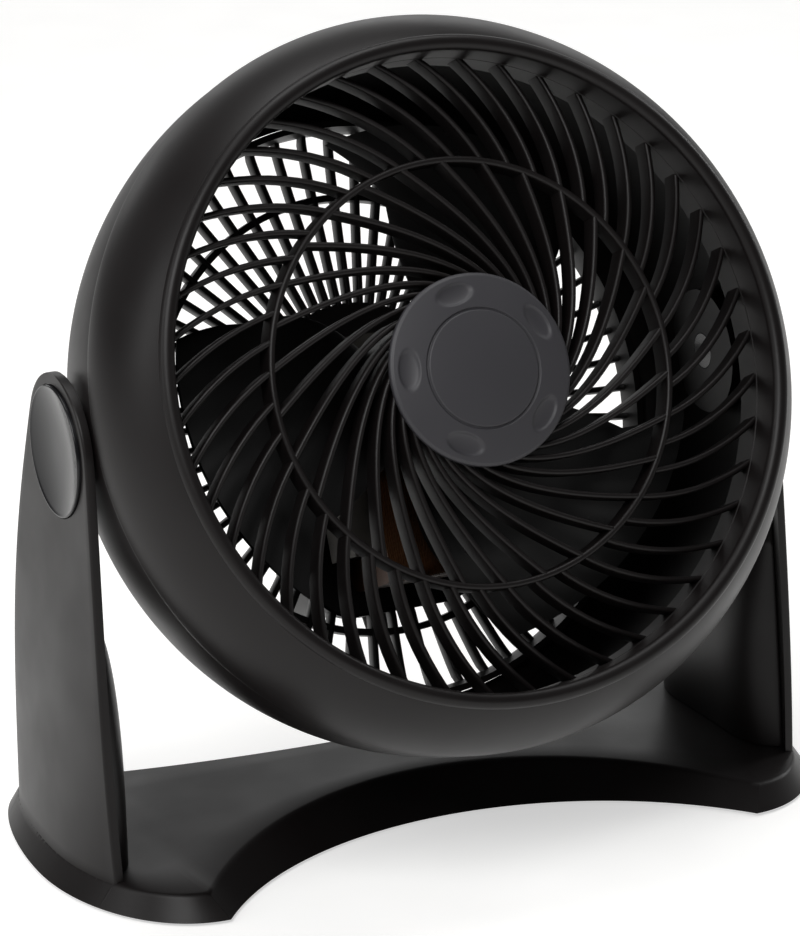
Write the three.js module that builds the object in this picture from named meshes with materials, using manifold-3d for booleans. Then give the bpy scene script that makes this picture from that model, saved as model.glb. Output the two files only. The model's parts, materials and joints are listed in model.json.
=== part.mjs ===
// A table-top air circulator fan: a round ducted head with a swirled front grille,
// held between the two arms of a one-piece stand and tilting on a pair of pivot pins.
// Millimetres, +Z up. The origin is on the floor at the middle of the fan's bounding
// box, the fan blows towards -Y, and the head is tilted up as it is usually left standing.
//
// Head pieces are drawn in the head's own frame: X to the right, Y up the head's face,
// Z forward along the fan axis, with zero at the pivot axis.

import * as THREE from "three";
import { mergeVertices } from "three/addons/utils/BufferGeometryUtils.js";
import Module from "manifold-3d";

const wasm = await Module();
wasm.setup();

// ---------------------------------------------------------------- driving dimensions

const CLEARANCE = 0.3; // between pieces that touch on the real fan
const ROUND_STEPS = 45; // facets round the big rings
const SMALL_STEPS = 16; // facets round bolts, bushes and bosses

// stance
const PIVOT_HEIGHT = 147.5;
const TILT_DEG = 24;

// front shroud: a bell from the parting line out and round to the lip
const PARTING_RADIUS = 123.9;
const PARTING_Z = 28.2;
const SKIN = 2.4;
const LIP_CENTRE_RADIUS = 108.4;
const LIP_ROUND = 2.7;
const LIP_Z = 61.4;
const DUCT_WALL = 2.0;
const DUCT_DEPTH = 24;

// front grille
const BAND_THICKNESS = 1.6;
const BAND_FRONT_Z = 49.8;
const BAND_DEPTH = 12;
const OUTER_SPOKES = 45;
const INNER_SPOKES = 30;
const OUTER_SWEEP_DEG = 20;
const INNER_SWEEP_DEG = 55;
const INNER_SWEEP_EASE = 1.5; // above 1, so the inner spokes straighten towards the ring
const SPOKE_PHASE_DEG = 4;
const SPOKE_WIDTH = 2.0;
const SPOKE_DEPTH = 8;
const GRILLE_CROWN_Z = 58.8;
const GRILLE_DROP = 10;
const RING_RADIUS = 70.6;
const RING_WIDTH = 2.4;
const GRILLE_HUB_RADIUS = 29.5;

// hub cap in the middle of the grille
const CAP_RADIUS = 32;
const CAP_EDGE = 2.2;
const CAP_CROWN = 4.0;
const CAP_GROOVE_RADIUS = 19.7;
const CAP_GROOVE_WIDTH = 0.8;
const CAP_GROOVE_DEPTH = 0.7;
const CAP_DIMPLES = 5;
const DIMPLE_RADIUS = 25.8;
const DIMPLE_LENGTH = 14;
const DIMPLE_WIDTH = 7;
const DIMPLE_DEPTH = 1.2;
const DIMPLE_PHASE_DEG = 29;

// rear housing, from the parting line back: a round shoulder, then a rear edge that turns in
const HOUSING_STEP = 0.6; // how far it stands inside the shroud at the parting line
const HOUSING_TAPER = 19.9; // how much smaller its rear edge is than the parting line
const HOUSING_REAR_Z = -34;
const HOUSING_SHOULDER = 15; // how far its rear edge turns in from the round shoulder
const HOUSING_WAIST = 20; // how far behind the parting line it stays widest
const HOUSING_BULGE = 1.2; // pull of its curve beyond the front edge
const SPIGOT_DEPTH = 5.5;
const SPIGOT_WALL = 2.0;

// rear grille, a bowl of ribs round the motor plate
const RIBS = 60;
const RIB_WIDTH = 2.2;
const RIB_DEPTH = 5.6;
const BOWL_Z = -40.5;
const REAR_BAND_WIDTH = 2.2;
const REAR_RING_RADIUS = 76;
const REAR_RING_WIDTH = 2.4;
const PLATE_MARGIN = 3;

// motor cover: a round housing with a lower bay for the coil side
const COVER_RADIUS = 36;
const COVER_HALF_WIDTH = 29;
const COVER_DROP = 66;
const COVER_CORNER = 12;
const COVER_WALL = 2.2;
const COVER_DEPTH = 35;

// motor
const STACK_FRONT_Z = -8;
const STACK_THICKNESS = 22;
const STACK_HALF_WIDTH = 27;
const STACK_TOP = 24;
const STACK_CHAMFER = 10;
const STACK_BOTTOM = 50;
const CORE_LEG = 12;
const SIDE_LEG = 8.3;
const WINDOW_TOP = 20;
const ROTOR_RADIUS = 16;
const AIR_GAP = 0.6;
const COIL_FRONT_OVERHANG = 7;
const COIL_TOP_GAP = 2.5;
const COIL_BELOW_LEG = 11;
const SHAFT_RADIUS = 3;
const SHAFT_FRONT_Z = 42;
const BRACKET_SHEET = 2;
const BRACKET_WIDTH = 12;
const BRACKET_RISE = 5.5;
const BEARING_RADIUS = 6.5;
const BEARING_LENGTH = 6.4;
const MOTOR_BOLT_X = 23;
const MOTOR_BOLT_RADIUS = 1.9;

// impeller
const BLADES = 3;
const BLADE_TIP_RADIUS = 88;
const BLADE_SPAN_DEG = 86;
const BLADE_LEAN_DEG = 16;
const BLADE_PHASE_DEG = 58;
const BLADE_THICKNESS = 2.2;
const BLADE_RISE = 26;
const BLADE_CAMBER = 2.5;
const HUB_RADIUS = 25;
const HUB_REAR_Z = 6;
const HUB_LENGTH = 30;
const HUB_WALL = 2.5;
const HUB_CHAMFER = 4;
const HUB_STEM_WALL = 3.5;
const NUT_RADIUS = 7;
const NUT_LENGTH = 5;

// speed control and mains inlet
const SWITCH_SIDE = 22;
const SWITCH_DEPTH = 13;
const KNOB_RADIUS = 17;
const KNOB_HEIGHT = 15;
const KNOB_STEM_RADIUS = 4.5;
const GLAND_RADIUS = 5.5;
const GLAND_BORE = 3.4;
const GLAND_LENGTH = 14;
const GLAND_FLANGE_RADIUS = 8;
const COVER_SCREW_RADIUS = 1.6;

// stand
const BASE_LIFT = 1.2; // the rubber feet hold the moulding this far off the floor
const BASE_EDGE = 8; // height of the plate's rim at the tips
const BASE_CROWN = 5; // extra height in the middle
const FRONT_TIP_X = 98;
const FRONT_TIP_Y = -66.5;
const FRONT_ARC_Y = -19;
const REAR_TIP_X = 117;
const REAR_TIP_Y = 70;
const REAR_ARC_Y = 46;
const BASE_FLARE = 13.1; // how far the belly of its side stands outside the arm's face
const DRAFT = 7; // how far the rim leans in over its height
const FOOT_RADIUS = 7;
const FOOT_HEIGHT = 3;
const FOOT_INSET = 17; // foot's middle behind the tips
const FRONT_FOOT_OUT = 8;
const REAR_FOOT_IN = 6;

// arms
const ARM_STANDOFF = 3.5; // arm's face outside the head's parting line
const ARM_SKIN = 3.2;
const ARM_FOOT_FRONT_Y = -39;
const ARM_FOOT_REAR_Y = 51;
const EAR_RADIUS = 26;
const EAR_PROUD = 0.3;
const FAIRING_HEIGHT = 84;
const FAIRING_DEPTH = 15;

// pivots
const PIN_HEAD_RADIUS = 22.1;
const PIN_RADIUS = 6;
const DISH_DEPTH = 2.8;
const PIN_LAND = 1.3;
const PIN_PROUD = 1.2; // dish's rim outside the arm's face
const WASHER_THICKNESS = 1.0;
const BOSS_RADIUS = 12;
const SEAT_RADIUS = 19.5; // round seat sunk in the housing's side, for the ear's hub
const SEAT_WALL = 2;
const SEAT_DEPTH = 1.3;
const SEAT_BACKING = 7;
const EAR_HUB_RADIUS = 17;
const EAR_HUB_WALL = 2.8;
const EAR_HUB_REACH = 2.3;
const EAR_FLOOR = 1.4;

// ---------------------------------------------------------------- values worked out from them

const DUCT_RADIUS = LIP_CENTRE_RADIUS - LIP_ROUND;
const BAND_RADIUS = DUCT_RADIUS + BAND_THICKNESS;
const REBATE_RADIUS = BAND_RADIUS + CLEARANCE;
const DUCT_OUTER_RADIUS = REBATE_RADIUS + DUCT_WALL;
const HOUSING_FRONT_Z = PARTING_Z - CLEARANCE;
const HOUSING_RADIUS = PARTING_RADIUS - HOUSING_STEP;
const HOUSING_REAR_RADIUS = PARTING_RADIUS - HOUSING_TAPER;
const SPIGOT_RADIUS = PARTING_RADIUS - SKIN - CLEARANCE;
const REAR_BAND_RADIUS = HOUSING_REAR_RADIUS - SKIN - CLEARANCE - 0.1;
const PLATE_REAR_Z = BOWL_Z - RIB_DEPTH;
const COVER_FRONT_Z = PLATE_REAR_Z - CLEARANCE;
const COVER_REAR_Z = COVER_FRONT_Z - COVER_DEPTH;
const STACK_REAR_Z = STACK_FRONT_Z - STACK_THICKNESS;
const HUB_FRONT_Z = HUB_REAR_Z + HUB_LENGTH;
const CAP_REAR_Z = GRILLE_CROWN_Z + CLEARANCE;
const ARM_FACE_X = PARTING_RADIUS + ARM_STANDOFF;
const BASE_HALF_WIDTH = ARM_FACE_X + BASE_FLARE;
const ARM_INNER_X = ARM_FACE_X - ARM_SKIN;
const EAR_FACE_X = ARM_FACE_X + EAR_PROUD;
const EAR_HUB_X = ARM_INNER_X - EAR_HUB_REACH;
const EAR_FLOOR_X = EAR_HUB_X + EAR_FLOOR;
const PIN_FACE_X = ARM_FACE_X + PIN_PROUD;
const PIN_SHOULDER_RADIUS = EAR_HUB_RADIUS - EAR_HUB_WALL - CLEARANCE;
const PIN_RIM_X = PIN_FACE_X - DISH_DEPTH;
const WASHER_X = EAR_HUB_X - CLEARANCE - WASHER_THICKNESS;
const BOSS_FACE_X = WASHER_X - CLEARANCE;
const SEAT_FLOOR_X = BOSS_FACE_X - SEAT_DEPTH;
const SEAT_RIM_X = EAR_HUB_X - 0.5;
const SEAT_ROOT_X = SEAT_FLOOR_X - SEAT_BACKING;

// ---------------------------------------------------------------- colours

const SATIN_BLACK = 0x161514;
const MATTE_SLATE = 0x333236;
const BLADE_BLACK = 0x0e0e0e;
const STEEL = 0x9a9a98;
const LAMINATION = 0x55524d;
const COIL_BROWN = 0x5a3a20;
const BRONZE = 0x8a6a3c;
const RUBBER = 0x1b1b1b;

const finish = (color, roughness, metalness = 0) =>
  new THREE.MeshStandardMaterial({ color, roughness, metalness });

// ---------------------------------------------------------------- small helpers

const steps = (count) => Array.from({ length: count }, (_, i) => i);
const rad = THREE.MathUtils.degToRad;
const lerp = THREE.MathUtils.lerp;
const p2 = (x, y) => new THREE.Vector2(x, y);
const p3 = (x, y, z) => new THREE.Vector3(x, y, z);

// Shares the corner points, drops collapsed faces and turns the faces outwards.
function weld(source) {
  const bare = new THREE.BufferGeometry();
  bare.setAttribute("position", source.getAttribute("position").clone());
  if (source.index) bare.setIndex(source.index.clone());
  const merged = mergeVertices(bare, 1e-4);
  const place = merged.getAttribute("position");
  const kept = [];
  let volume = 0;
  const [a, b, c] = [p3(), p3(), p3()];
  for (let i = 0; i < merged.index.count; i += 3) {
    const corners = [0, 1, 2].map((k) => merged.index.getX(i + k));
    if (new Set(corners).size < 3) continue;
    kept.push(...corners);
    a.fromBufferAttribute(place, corners[0]);
    b.fromBufferAttribute(place, corners[1]);
    c.fromBufferAttribute(place, corners[2]);
    volume += a.dot(b.cross(c));
  }
  if (volume < 0) kept.reverse();
  merged.setIndex(kept);
  return merged;
}

const solidOf = (geometry) => {
  const welded = weld(geometry);
  return new wasm.Manifold(
    new wasm.Mesh({
      numProp: 3,
      vertProperties: new Float32Array(welded.getAttribute("position").array),
      triVerts: new Uint32Array(welded.index.array),
    })
  );
};

const geometryOf = (solid) => {
  const mesh = solid.getMesh();
  const geometry = new THREE.BufferGeometry();
  geometry.setAttribute("position", new THREE.BufferAttribute(mesh.vertProperties, 3));
  geometry.setIndex(new THREE.BufferAttribute(mesh.triVerts, 1));
  return geometry;
};

const joined = (pieces) => pieces.map(solidOf).reduce((sum, next) => sum.add(next));
const join = (...pieces) => geometryOf(joined(pieces));
const cut = (body, ...tools) => geometryOf(solidOf(body).subtract(joined(tools)));

// A closed [radius, z] outline turned round the Z axis.
function revolve(outline, steps = ROUND_STEPS) {
  const points = outline.map(([radius, z]) => p2(Math.max(radius, 0), z));
  const onAxis = points[0].x === 0 && points[points.length - 1].x === 0;
  if (!onAxis) points.push(points[0].clone());
  return weld(new THREE.LatheGeometry(points, steps).rotateX(Math.PI / 2));
}

const ring = (inner, outer, z0, z1, steps = SMALL_STEPS) =>
  revolve([[inner, z0], [outer, z0], [outer, z1], [inner, z1]], steps);

const disc = (radius, z0, z1, steps = SMALL_STEPS) =>
  revolve([[0, z0], [radius, z0], [radius, z1], [0, z1]], steps);

const block = (x0, x1, y0, y1, z0, z1) =>
  new THREE.BoxGeometry(x1 - x0, y1 - y0, z1 - z0).translate((x0 + x1) / 2, (y0 + y1) / 2, (z0 + z1) / 2);

function extrude(shape, z0, z1, curveSegments = 6) {
  const settings = { depth: z1 - z0, bevelEnabled: false, curveSegments };
  return new THREE.ExtrudeGeometry(shape, settings).translate(0, 0, z0);
}

const alongX = (geometry, side = 1) => geometry.rotateY((side * Math.PI) / 2);

// A closed body through a row of sections that all have as many corner points.
function loft(sections) {
  const count = sections[0].length;
  const positions = sections.flat().flatMap((point) => [point.x, point.y, point.z]);
  const index = [];
  for (let s = 0; s + 1 < sections.length; s += 1) {
    for (let k = 0; k < count; k += 1) {
      const a = s * count + k;
      const b = s * count + ((k + 1) % count);
      index.push(a, b, b + count, a, b + count, a + count);
    }
  }
  const last = (sections.length - 1) * count;
  for (let k = 1; k + 1 < count; k += 1) {
    index.push(0, k + 1, k);
    index.push(last, last + k, last + k + 1);
  }
  const geometry = new THREE.BufferGeometry();
  geometry.setAttribute("position", new THREE.Float32BufferAttribute(positions, 3));
  geometry.setIndex(index);
  return weld(geometry);
}

// An upright strip along a path of {radius, angle, front, back}, as wide square across everywhere.
function swirlStrip(path, width, count) {
  const sections = steps(count + 1).map((s) => {
    const { radius, angle, front, back } = path(s / count);
    const before = path(Math.max(0, s / count - 0.01));
    const after = path(Math.min(1, s / count + 0.01));
    const outward = after.radius - before.radius;
    const around = radius * (after.angle - before.angle);
    const across = p2(-around, outward).normalize().multiplyScalar(width / 2).rotateAround(p2(0, 0), angle);
    const at = (side, z) =>
      p3(radius * Math.cos(angle) + side * across.x, radius * Math.sin(angle) + side * across.y, z);
    return [at(-1, front), at(1, front), at(1, back), at(-1, back)];
  });
  return loft(sections);
}

function mesh(name, geometry, material) {
  const piece = new THREE.Mesh(geometry, material);
  piece.name = name;
  return piece;
}

// ---------------------------------------------------------------- head: shells

function frontShroud() {
  const outer = new THREE.CubicBezierCurve(
    p2(PARTING_RADIUS, PARTING_Z),
    p2(PARTING_RADIUS + 0.7, PARTING_Z + 12),
    p2(LIP_CENTRE_RADIUS + 9.1, LIP_Z - 6.9),
    p2(LIP_CENTRE_RADIUS + LIP_ROUND, LIP_Z)
  );
  const inner = new THREE.CubicBezierCurve(
    p2(DUCT_OUTER_RADIUS, LIP_Z - 3.2),
    p2(LIP_CENTRE_RADIUS + 7.4, LIP_Z - 8.9),
    p2(PARTING_RADIUS - SKIN + 0.4, PARTING_Z + 14),
    p2(PARTING_RADIUS - SKIN, PARTING_Z + SPIGOT_DEPTH + 1)
  );
  const lip = steps(3).map((i) => {
    const angle = rad(45 * (i + 1));
    return [LIP_CENTRE_RADIUS + LIP_ROUND * Math.cos(angle), LIP_Z + LIP_ROUND * Math.sin(angle)];
  });
  const ductRearZ = LIP_Z - DUCT_DEPTH;
  return revolve([
    ...outer.getPoints(5).map((p) => [p.x, p.y]),
    ...lip,
    [DUCT_RADIUS, LIP_Z],
    [DUCT_RADIUS, BAND_FRONT_Z + CLEARANCE],
    [REBATE_RADIUS, BAND_FRONT_Z + CLEARANCE],
    [REBATE_RADIUS, ductRearZ],
    [DUCT_OUTER_RADIUS, ductRearZ],
    ...inner.getPoints(3).map((p) => [p.x, p.y]),
    [PARTING_RADIUS - SKIN, PARTING_Z],
  ]);
}

function rearHousingOutline() {
  const outer = new THREE.CubicBezierCurve(
    p2(HOUSING_REAR_RADIUS, HOUSING_REAR_Z),
    p2(HOUSING_REAR_RADIUS + HOUSING_SHOULDER, HOUSING_REAR_Z + HOUSING_SHOULDER - 1),
    p2(HOUSING_RADIUS + HOUSING_BULGE, PARTING_Z - HOUSING_WAIST),
    p2(HOUSING_RADIUS, HOUSING_FRONT_Z)
  );
  const outside = outer.getPoints(6).map((p) => [p.x, p.y]);
  const inside = outer.getPoints(6).map((p) => [p.x - SKIN, p.y]);
  inside.pop();
  return [
    ...outside,
    [SPIGOT_RADIUS, HOUSING_FRONT_Z],
    [SPIGOT_RADIUS, HOUSING_FRONT_Z + SPIGOT_DEPTH],
    [SPIGOT_RADIUS - SPIGOT_WALL, HOUSING_FRONT_Z + SPIGOT_DEPTH],
    [SPIGOT_RADIUS - SPIGOT_WALL, HOUSING_FRONT_Z - 6],
    ...inside.reverse(),
  ];
}

function rearHousing() {
  const both = (radius, from, to, count) =>
    [1, -1].map((side) => alongX(disc(radius, from, to, count), side));
  const pads = both(SEAT_RADIUS + SEAT_WALL, SEAT_ROOT_X, SEAT_RIM_X, 24);
  const seats = both(SEAT_RADIUS, SEAT_FLOOR_X, ARM_FACE_X, 24);
  const bosses = both(BOSS_RADIUS, SEAT_FLOOR_X - 1, BOSS_FACE_X);
  const bores = both(PIN_RADIUS + CLEARANCE, SEAT_ROOT_X - 1, BOSS_FACE_X + 1);
  const shell = cut(join(revolve(rearHousingOutline()), ...pads), ...seats);
  return cut(join(shell, ...bosses), ...bores);
}

// ---------------------------------------------------------------- head: front grille and cap

const grilleFront = (radius) => GRILLE_CROWN_Z - GRILLE_DROP * (radius / DUCT_RADIUS) ** 3;

function frontGrille() {
  const spoke = (from, to, endDeg, sweepDeg, ease, count) =>
    swirlStrip((t) => {
      const radius = lerp(from, to, t);
      const front = grilleFront(radius);
      return { radius, angle: rad(endDeg - sweepDeg * (1 - t) ** ease), front, back: front - SPOKE_DEPTH };
    }, SPOKE_WIDTH, count);
  const inner = steps(INNER_SPOKES).map((i) =>
    spoke(GRILLE_HUB_RADIUS - 1, RING_RADIUS, SPOKE_PHASE_DEG + (360 / INNER_SPOKES) * i,
      INNER_SWEEP_DEG, INNER_SWEEP_EASE, 5));
  const outer = steps(OUTER_SPOKES).map((i) =>
    spoke(RING_RADIUS, DUCT_RADIUS + BAND_THICKNESS / 2,
      SPOKE_PHASE_DEG + OUTER_SWEEP_DEG + (360 / OUTER_SPOKES) * i, OUTER_SWEEP_DEG, 1, 2));
  const ringFront = grilleFront(RING_RADIUS);
  const middleRing = ring(RING_RADIUS - RING_WIDTH / 2, RING_RADIUS + RING_WIDTH / 2,
    ringFront - SPOKE_DEPTH - 0.2, ringFront + 0.3, ROUND_STEPS);
  const band = ring(DUCT_RADIUS, BAND_RADIUS, BAND_FRONT_Z - BAND_DEPTH, BAND_FRONT_Z, ROUND_STEPS);
  const hub = disc(GRILLE_HUB_RADIUS, GRILLE_CROWN_Z - SPOKE_DEPTH - 0.6, GRILLE_CROWN_Z, 30);
  return join(middleRing, band, hub, ...inner, ...outer);
}

function hubCap() {
  const edgeZ = CAP_REAR_Z + CAP_EDGE;
  const crown = (radius) => edgeZ + CAP_CROWN * (1 - (radius / CAP_RADIUS) ** 2);
  const groove = [-1, -1, 1, 1].map((side, i) => {
    const radius = CAP_GROOVE_RADIUS + (side * CAP_GROOVE_WIDTH) / 2;
    const sunk = i === 1 || i === 2 ? CAP_GROOVE_DEPTH : 0;
    return [radius, crown(radius) - sunk];
  });
  const body = revolve([
    [0, CAP_REAR_Z],
    [CAP_RADIUS - 0.6, CAP_REAR_Z],
    [CAP_RADIUS, CAP_REAR_Z + 0.6],
    [CAP_RADIUS, edgeZ - 1],
    [CAP_RADIUS - 1.2, crown(CAP_RADIUS - 1.2)],
    [DIMPLE_RADIUS, crown(DIMPLE_RADIUS)],
    ...groove.reverse(),
    [0, crown(CAP_GROOVE_RADIUS) + 0.4],
  ], 24);
  const dimples = steps(CAP_DIMPLES).map((i) => {
    const ball = new THREE.SphereGeometry(1, 8, 6);
    ball.scale(DIMPLE_WIDTH / 2, DIMPLE_LENGTH / 2, DIMPLE_DEPTH);
    ball.translate(DIMPLE_RADIUS, 0, crown(DIMPLE_RADIUS) + 0.1);
    return ball.rotateZ(rad(DIMPLE_PHASE_DEG + (360 / CAP_DIMPLES) * i));
  });
  return cut(body, ...dimples);
}

// ---------------------------------------------------------------- head: rear grille and motor cover

// Round over the fan axis, with a bay below it; grown by a margin all round.
function coverShape(margin) {
  const radius = COVER_RADIUS + margin;
  const half = COVER_HALF_WIDTH + margin;
  const bottom = -COVER_DROP - margin;
  const corner = COVER_CORNER + margin;
  const shoulder = Math.asin(half / radius);
  const shape = new THREE.Shape();
  shape.absarc(0, 0, radius, -Math.PI / 2 + shoulder, (3 * Math.PI) / 2 - shoulder, false);
  shape.lineTo(-half, bottom + corner);
  shape.absarc(-half + corner, bottom + corner, corner, Math.PI, (3 * Math.PI) / 2, false);
  shape.absarc(half - corner, bottom + corner, corner, -Math.PI / 2, 0, false);
  shape.closePath();
  return shape;
}

const motorPosts = (z0, z1, radius) =>
  [-1, 1].map((side) => disc(radius, z0, z1).translate(side * MOTOR_BOLT_X, 0, 0));

// How far the plate's outline lies from the fan axis in a given direction.
function plateReach(outline, angle) {
  const ray = p2(Math.cos(angle), Math.sin(angle));
  const reaches = outline.map((from, i) => {
    const to = outline[(i + 1) % outline.length];
    const sideFrom = ray.cross(from);
    const sideTo = ray.cross(to);
    if (sideFrom > 0 || sideTo <= 0) return 0;
    return lerp(from.dot(ray), to.dot(ray), sideFrom / (sideFrom - sideTo));
  });
  return Math.max(...reaches);
}

function rearGrille() {
  const bandInner = REAR_BAND_RADIUS - REAR_BAND_WIDTH;
  const bandFrontZ = HOUSING_REAR_Z + 3.5;
  const bowl = revolve([
    [0, BOWL_Z],
    [REAR_BAND_RADIUS - 16, BOWL_Z],
    [REAR_BAND_RADIUS - 6, BOWL_Z + 3],
    [bandInner, HOUSING_REAR_Z - 0.5],
    [bandInner, bandFrontZ],
    [REAR_BAND_RADIUS, bandFrontZ],
    [REAR_BAND_RADIUS, HOUSING_REAR_Z - 3],
    [REAR_BAND_RADIUS - 5, PLATE_REAR_Z + 3],
    [REAR_BAND_RADIUS - 12, PLATE_REAR_Z],
    [0, PLATE_REAR_Z],
  ], RIBS);
  const outline = coverShape(PLATE_MARGIN).getPoints(8);
  const halfPitch = Math.PI / RIBS;
  const slot = (angle, from, to) => {
    const corner = (radius, side) => p2(radius, side * (radius * Math.sin(halfPitch) - RIB_WIDTH / 2));
    const shape = new THREE.Shape([corner(from, -1), corner(to, -1), corner(to, 1), corner(from, 1)]);
    return extrude(shape, PLATE_REAR_Z - 1, bandFrontZ + 1).rotateZ(angle);
  };
  const slots = steps(RIBS).flatMap((i) => {
    const angle = 2 * i * halfPitch;
    return [
      slot(angle, plateReach(outline, angle) + 1, REAR_RING_RADIUS - REAR_RING_WIDTH / 2),
      slot(angle, REAR_RING_RADIUS + REAR_RING_WIDTH / 2, bandInner - 1),
    ];
  });
  const postFrontZ = STACK_REAR_Z - BRACKET_SHEET - 2 * CLEARANCE;
  const posts = motorPosts(BOWL_Z - 1, postFrontZ, MOTOR_BOLT_RADIUS + 1.8);
  const boltHoles = motorPosts(PLATE_REAR_Z - 1, STACK_REAR_Z, MOTOR_BOLT_RADIUS + CLEARANCE);
  const screwHoles = coverScrewPlaces().map(([x, y]) =>
    disc(COVER_SCREW_RADIUS + CLEARANCE, PLATE_REAR_Z - 1, BOWL_Z + 1, 12).translate(x, y, 0));
  return cut(join(cut(bowl, ...slots), ...posts), ...boltHoles, ...screwHoles);
}

const coverScrewPlaces = () => [
  [0, COVER_RADIUS - COVER_WALL - 3.1],
  [-COVER_HALF_WIDTH + COVER_WALL + 3.2, -COVER_DROP + COVER_CORNER + 3],
  [COVER_HALF_WIDTH - COVER_WALL - 3.2, -COVER_DROP + COVER_CORNER + 3],
];

const glandZ = COVER_FRONT_Z - COVER_DEPTH / 2;

function motorCover() {
  const shell = extrude(coverShape(0), COVER_REAR_Z, COVER_FRONT_Z);
  const room = extrude(coverShape(-COVER_WALL), COVER_REAR_Z + COVER_WALL, COVER_FRONT_Z + 1);
  const pillars = coverScrewPlaces().map(([x, y]) =>
    disc(COVER_SCREW_RADIUS + 2.4, COVER_REAR_Z + 1, COVER_FRONT_Z, 16).translate(x, y, 0));
  const screwHoles = coverScrewPlaces().map(([x, y]) =>
    disc(COVER_SCREW_RADIUS + CLEARANCE, COVER_REAR_Z - 1, COVER_FRONT_Z + 1, 12).translate(x, y, 0));
  const stemHole = disc(KNOB_STEM_RADIUS + 2 * CLEARANCE, COVER_REAR_Z - 1, COVER_FRONT_Z);
  const inlet = disc(GLAND_RADIUS + CLEARANCE, 0, 12).rotateX(Math.PI / 2)
    .translate(0, -COVER_DROP + 6, glandZ);
  return cut(join(cut(shell, room), ...pillars), stemHole, inlet, ...screwHoles);
}

function coverScrew([x, y]) {
  const headZ = COVER_REAR_Z - CLEARANCE;
  const outline = [
    [0, PLATE_REAR_Z + 3],
    [COVER_SCREW_RADIUS, PLATE_REAR_Z + 3],
    [COVER_SCREW_RADIUS, headZ],
    [2 * COVER_SCREW_RADIUS, headZ],
    [2 * COVER_SCREW_RADIUS, headZ - 1.6],
    [0, headZ - 2],
  ];
  return revolve(outline, 12).translate(x, y, 0);
}

// ---------------------------------------------------------------- motor

function statorCore() {
  const shape = new THREE.Shape();
  shape.moveTo(-STACK_HALF_WIDTH, -STACK_BOTTOM);
  shape.lineTo(STACK_HALF_WIDTH, -STACK_BOTTOM);
  shape.lineTo(STACK_HALF_WIDTH, STACK_TOP - STACK_CHAMFER);
  shape.lineTo(STACK_HALF_WIDTH - STACK_CHAMFER, STACK_TOP);
  shape.lineTo(STACK_CHAMFER - STACK_HALF_WIDTH, STACK_TOP);
  shape.lineTo(-STACK_HALF_WIDTH, STACK_TOP - STACK_CHAMFER);
  const bore = disc(ROTOR_RADIUS + AIR_GAP, STACK_REAR_Z - 1, STACK_FRONT_Z + 1, 24);
  const windowX = STACK_HALF_WIDTH - SIDE_LEG;
  const window = block(-windowX, windowX, -STACK_BOTTOM + CORE_LEG, -WINDOW_TOP,
    STACK_REAR_Z - 1, STACK_FRONT_Z + 1);
  const bolts = motorPosts(STACK_REAR_Z - 1, STACK_FRONT_Z + 1, MOTOR_BOLT_RADIUS + CLEARANCE);
  return cut(extrude(shape, STACK_REAR_Z, STACK_FRONT_Z), bore, window, ...bolts);
}

function statorCoil() {
  const halfLength = STACK_HALF_WIDTH - SIDE_LEG - CLEARANCE;
  const top = -WINDOW_TOP - COIL_TOP_GAP;
  const bottom = -STACK_BOTTOM - COIL_BELOW_LEG;
  const frontZ = STACK_FRONT_Z + COIL_FRONT_OVERHANG;
  const rearZ = STACK_REAR_Z - COIL_FRONT_OVERHANG;
  const corner = 6;
  const shape = new THREE.Shape();
  shape.absarc(frontZ - corner, top - corner, corner, 0, Math.PI / 2, false);
  shape.absarc(rearZ + corner, top - corner, corner, Math.PI / 2, Math.PI, false);
  shape.absarc(rearZ + corner, bottom + corner, corner, Math.PI, 1.5 * Math.PI, false);
  shape.absarc(frontZ - corner, bottom + corner, corner, 1.5 * Math.PI, 2 * Math.PI, false);
  const winding = extrude(shape, -halfLength, halfLength, 4).rotateY(-Math.PI / 2);
  const leg = block(-STACK_HALF_WIDTH, STACK_HALF_WIDTH,
    -STACK_BOTTOM - CLEARANCE, -STACK_BOTTOM + CORE_LEG + CLEARANCE,
    STACK_REAR_Z - CLEARANCE, STACK_FRONT_Z + CLEARANCE);
  return cut(winding, leg);
}

// A bridge of bent sheet over one end of the rotor; facing is 1 in front and -1 behind.
function bearingBridge(facing) {
  const faceZ = facing > 0 ? STACK_FRONT_Z : STACK_REAR_Z;
  const at = (rise) => faceZ + facing * (CLEARANCE + rise);
  const span = (x0, x1, r0, r1) =>
    block(x0, x1, -BRACKET_WIDTH / 2, BRACKET_WIDTH / 2, Math.min(at(r0), at(r1)), Math.max(at(r0), at(r1)));
  const kneeX = STACK_HALF_WIDTH - SIDE_LEG;
  const tread = span(-kneeX, kneeX, BRACKET_RISE, BRACKET_RISE + BRACKET_SHEET);
  const sides = [-1, 1].flatMap((side) => {
    const inner = side * (kneeX - BRACKET_SHEET);
    const outer = side * kneeX;
    const toe = side * STACK_HALF_WIDTH;
    return [
      span(Math.min(inner, outer), Math.max(inner, outer), 0, BRACKET_RISE + BRACKET_SHEET),
      span(Math.min(inner, toe), Math.max(inner, toe), 0, BRACKET_SHEET),
    ];
  });
  const bearingMid = bearingMiddleZ(facing);
  const half = BEARING_LENGTH / 2;
  const cup = disc(BEARING_RADIUS + CLEARANCE + 1.7, bearingMid - half - 0.3, bearingMid + half + 0.3);
  const bore = disc(BEARING_RADIUS + CLEARANCE, bearingMid - half - 2, bearingMid + half + 2);
  const bolts = motorPosts(Math.min(at(-1), at(4)), Math.max(at(-1), at(4)), MOTOR_BOLT_RADIUS + CLEARANCE);
  return cut(join(tread, ...sides, cup), bore, ...bolts);
}

const bearingMiddleZ = (facing) => {
  const faceZ = facing > 0 ? STACK_FRONT_Z : STACK_REAR_Z;
  return faceZ + facing * (BRACKET_RISE + 0.8);
};

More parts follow.
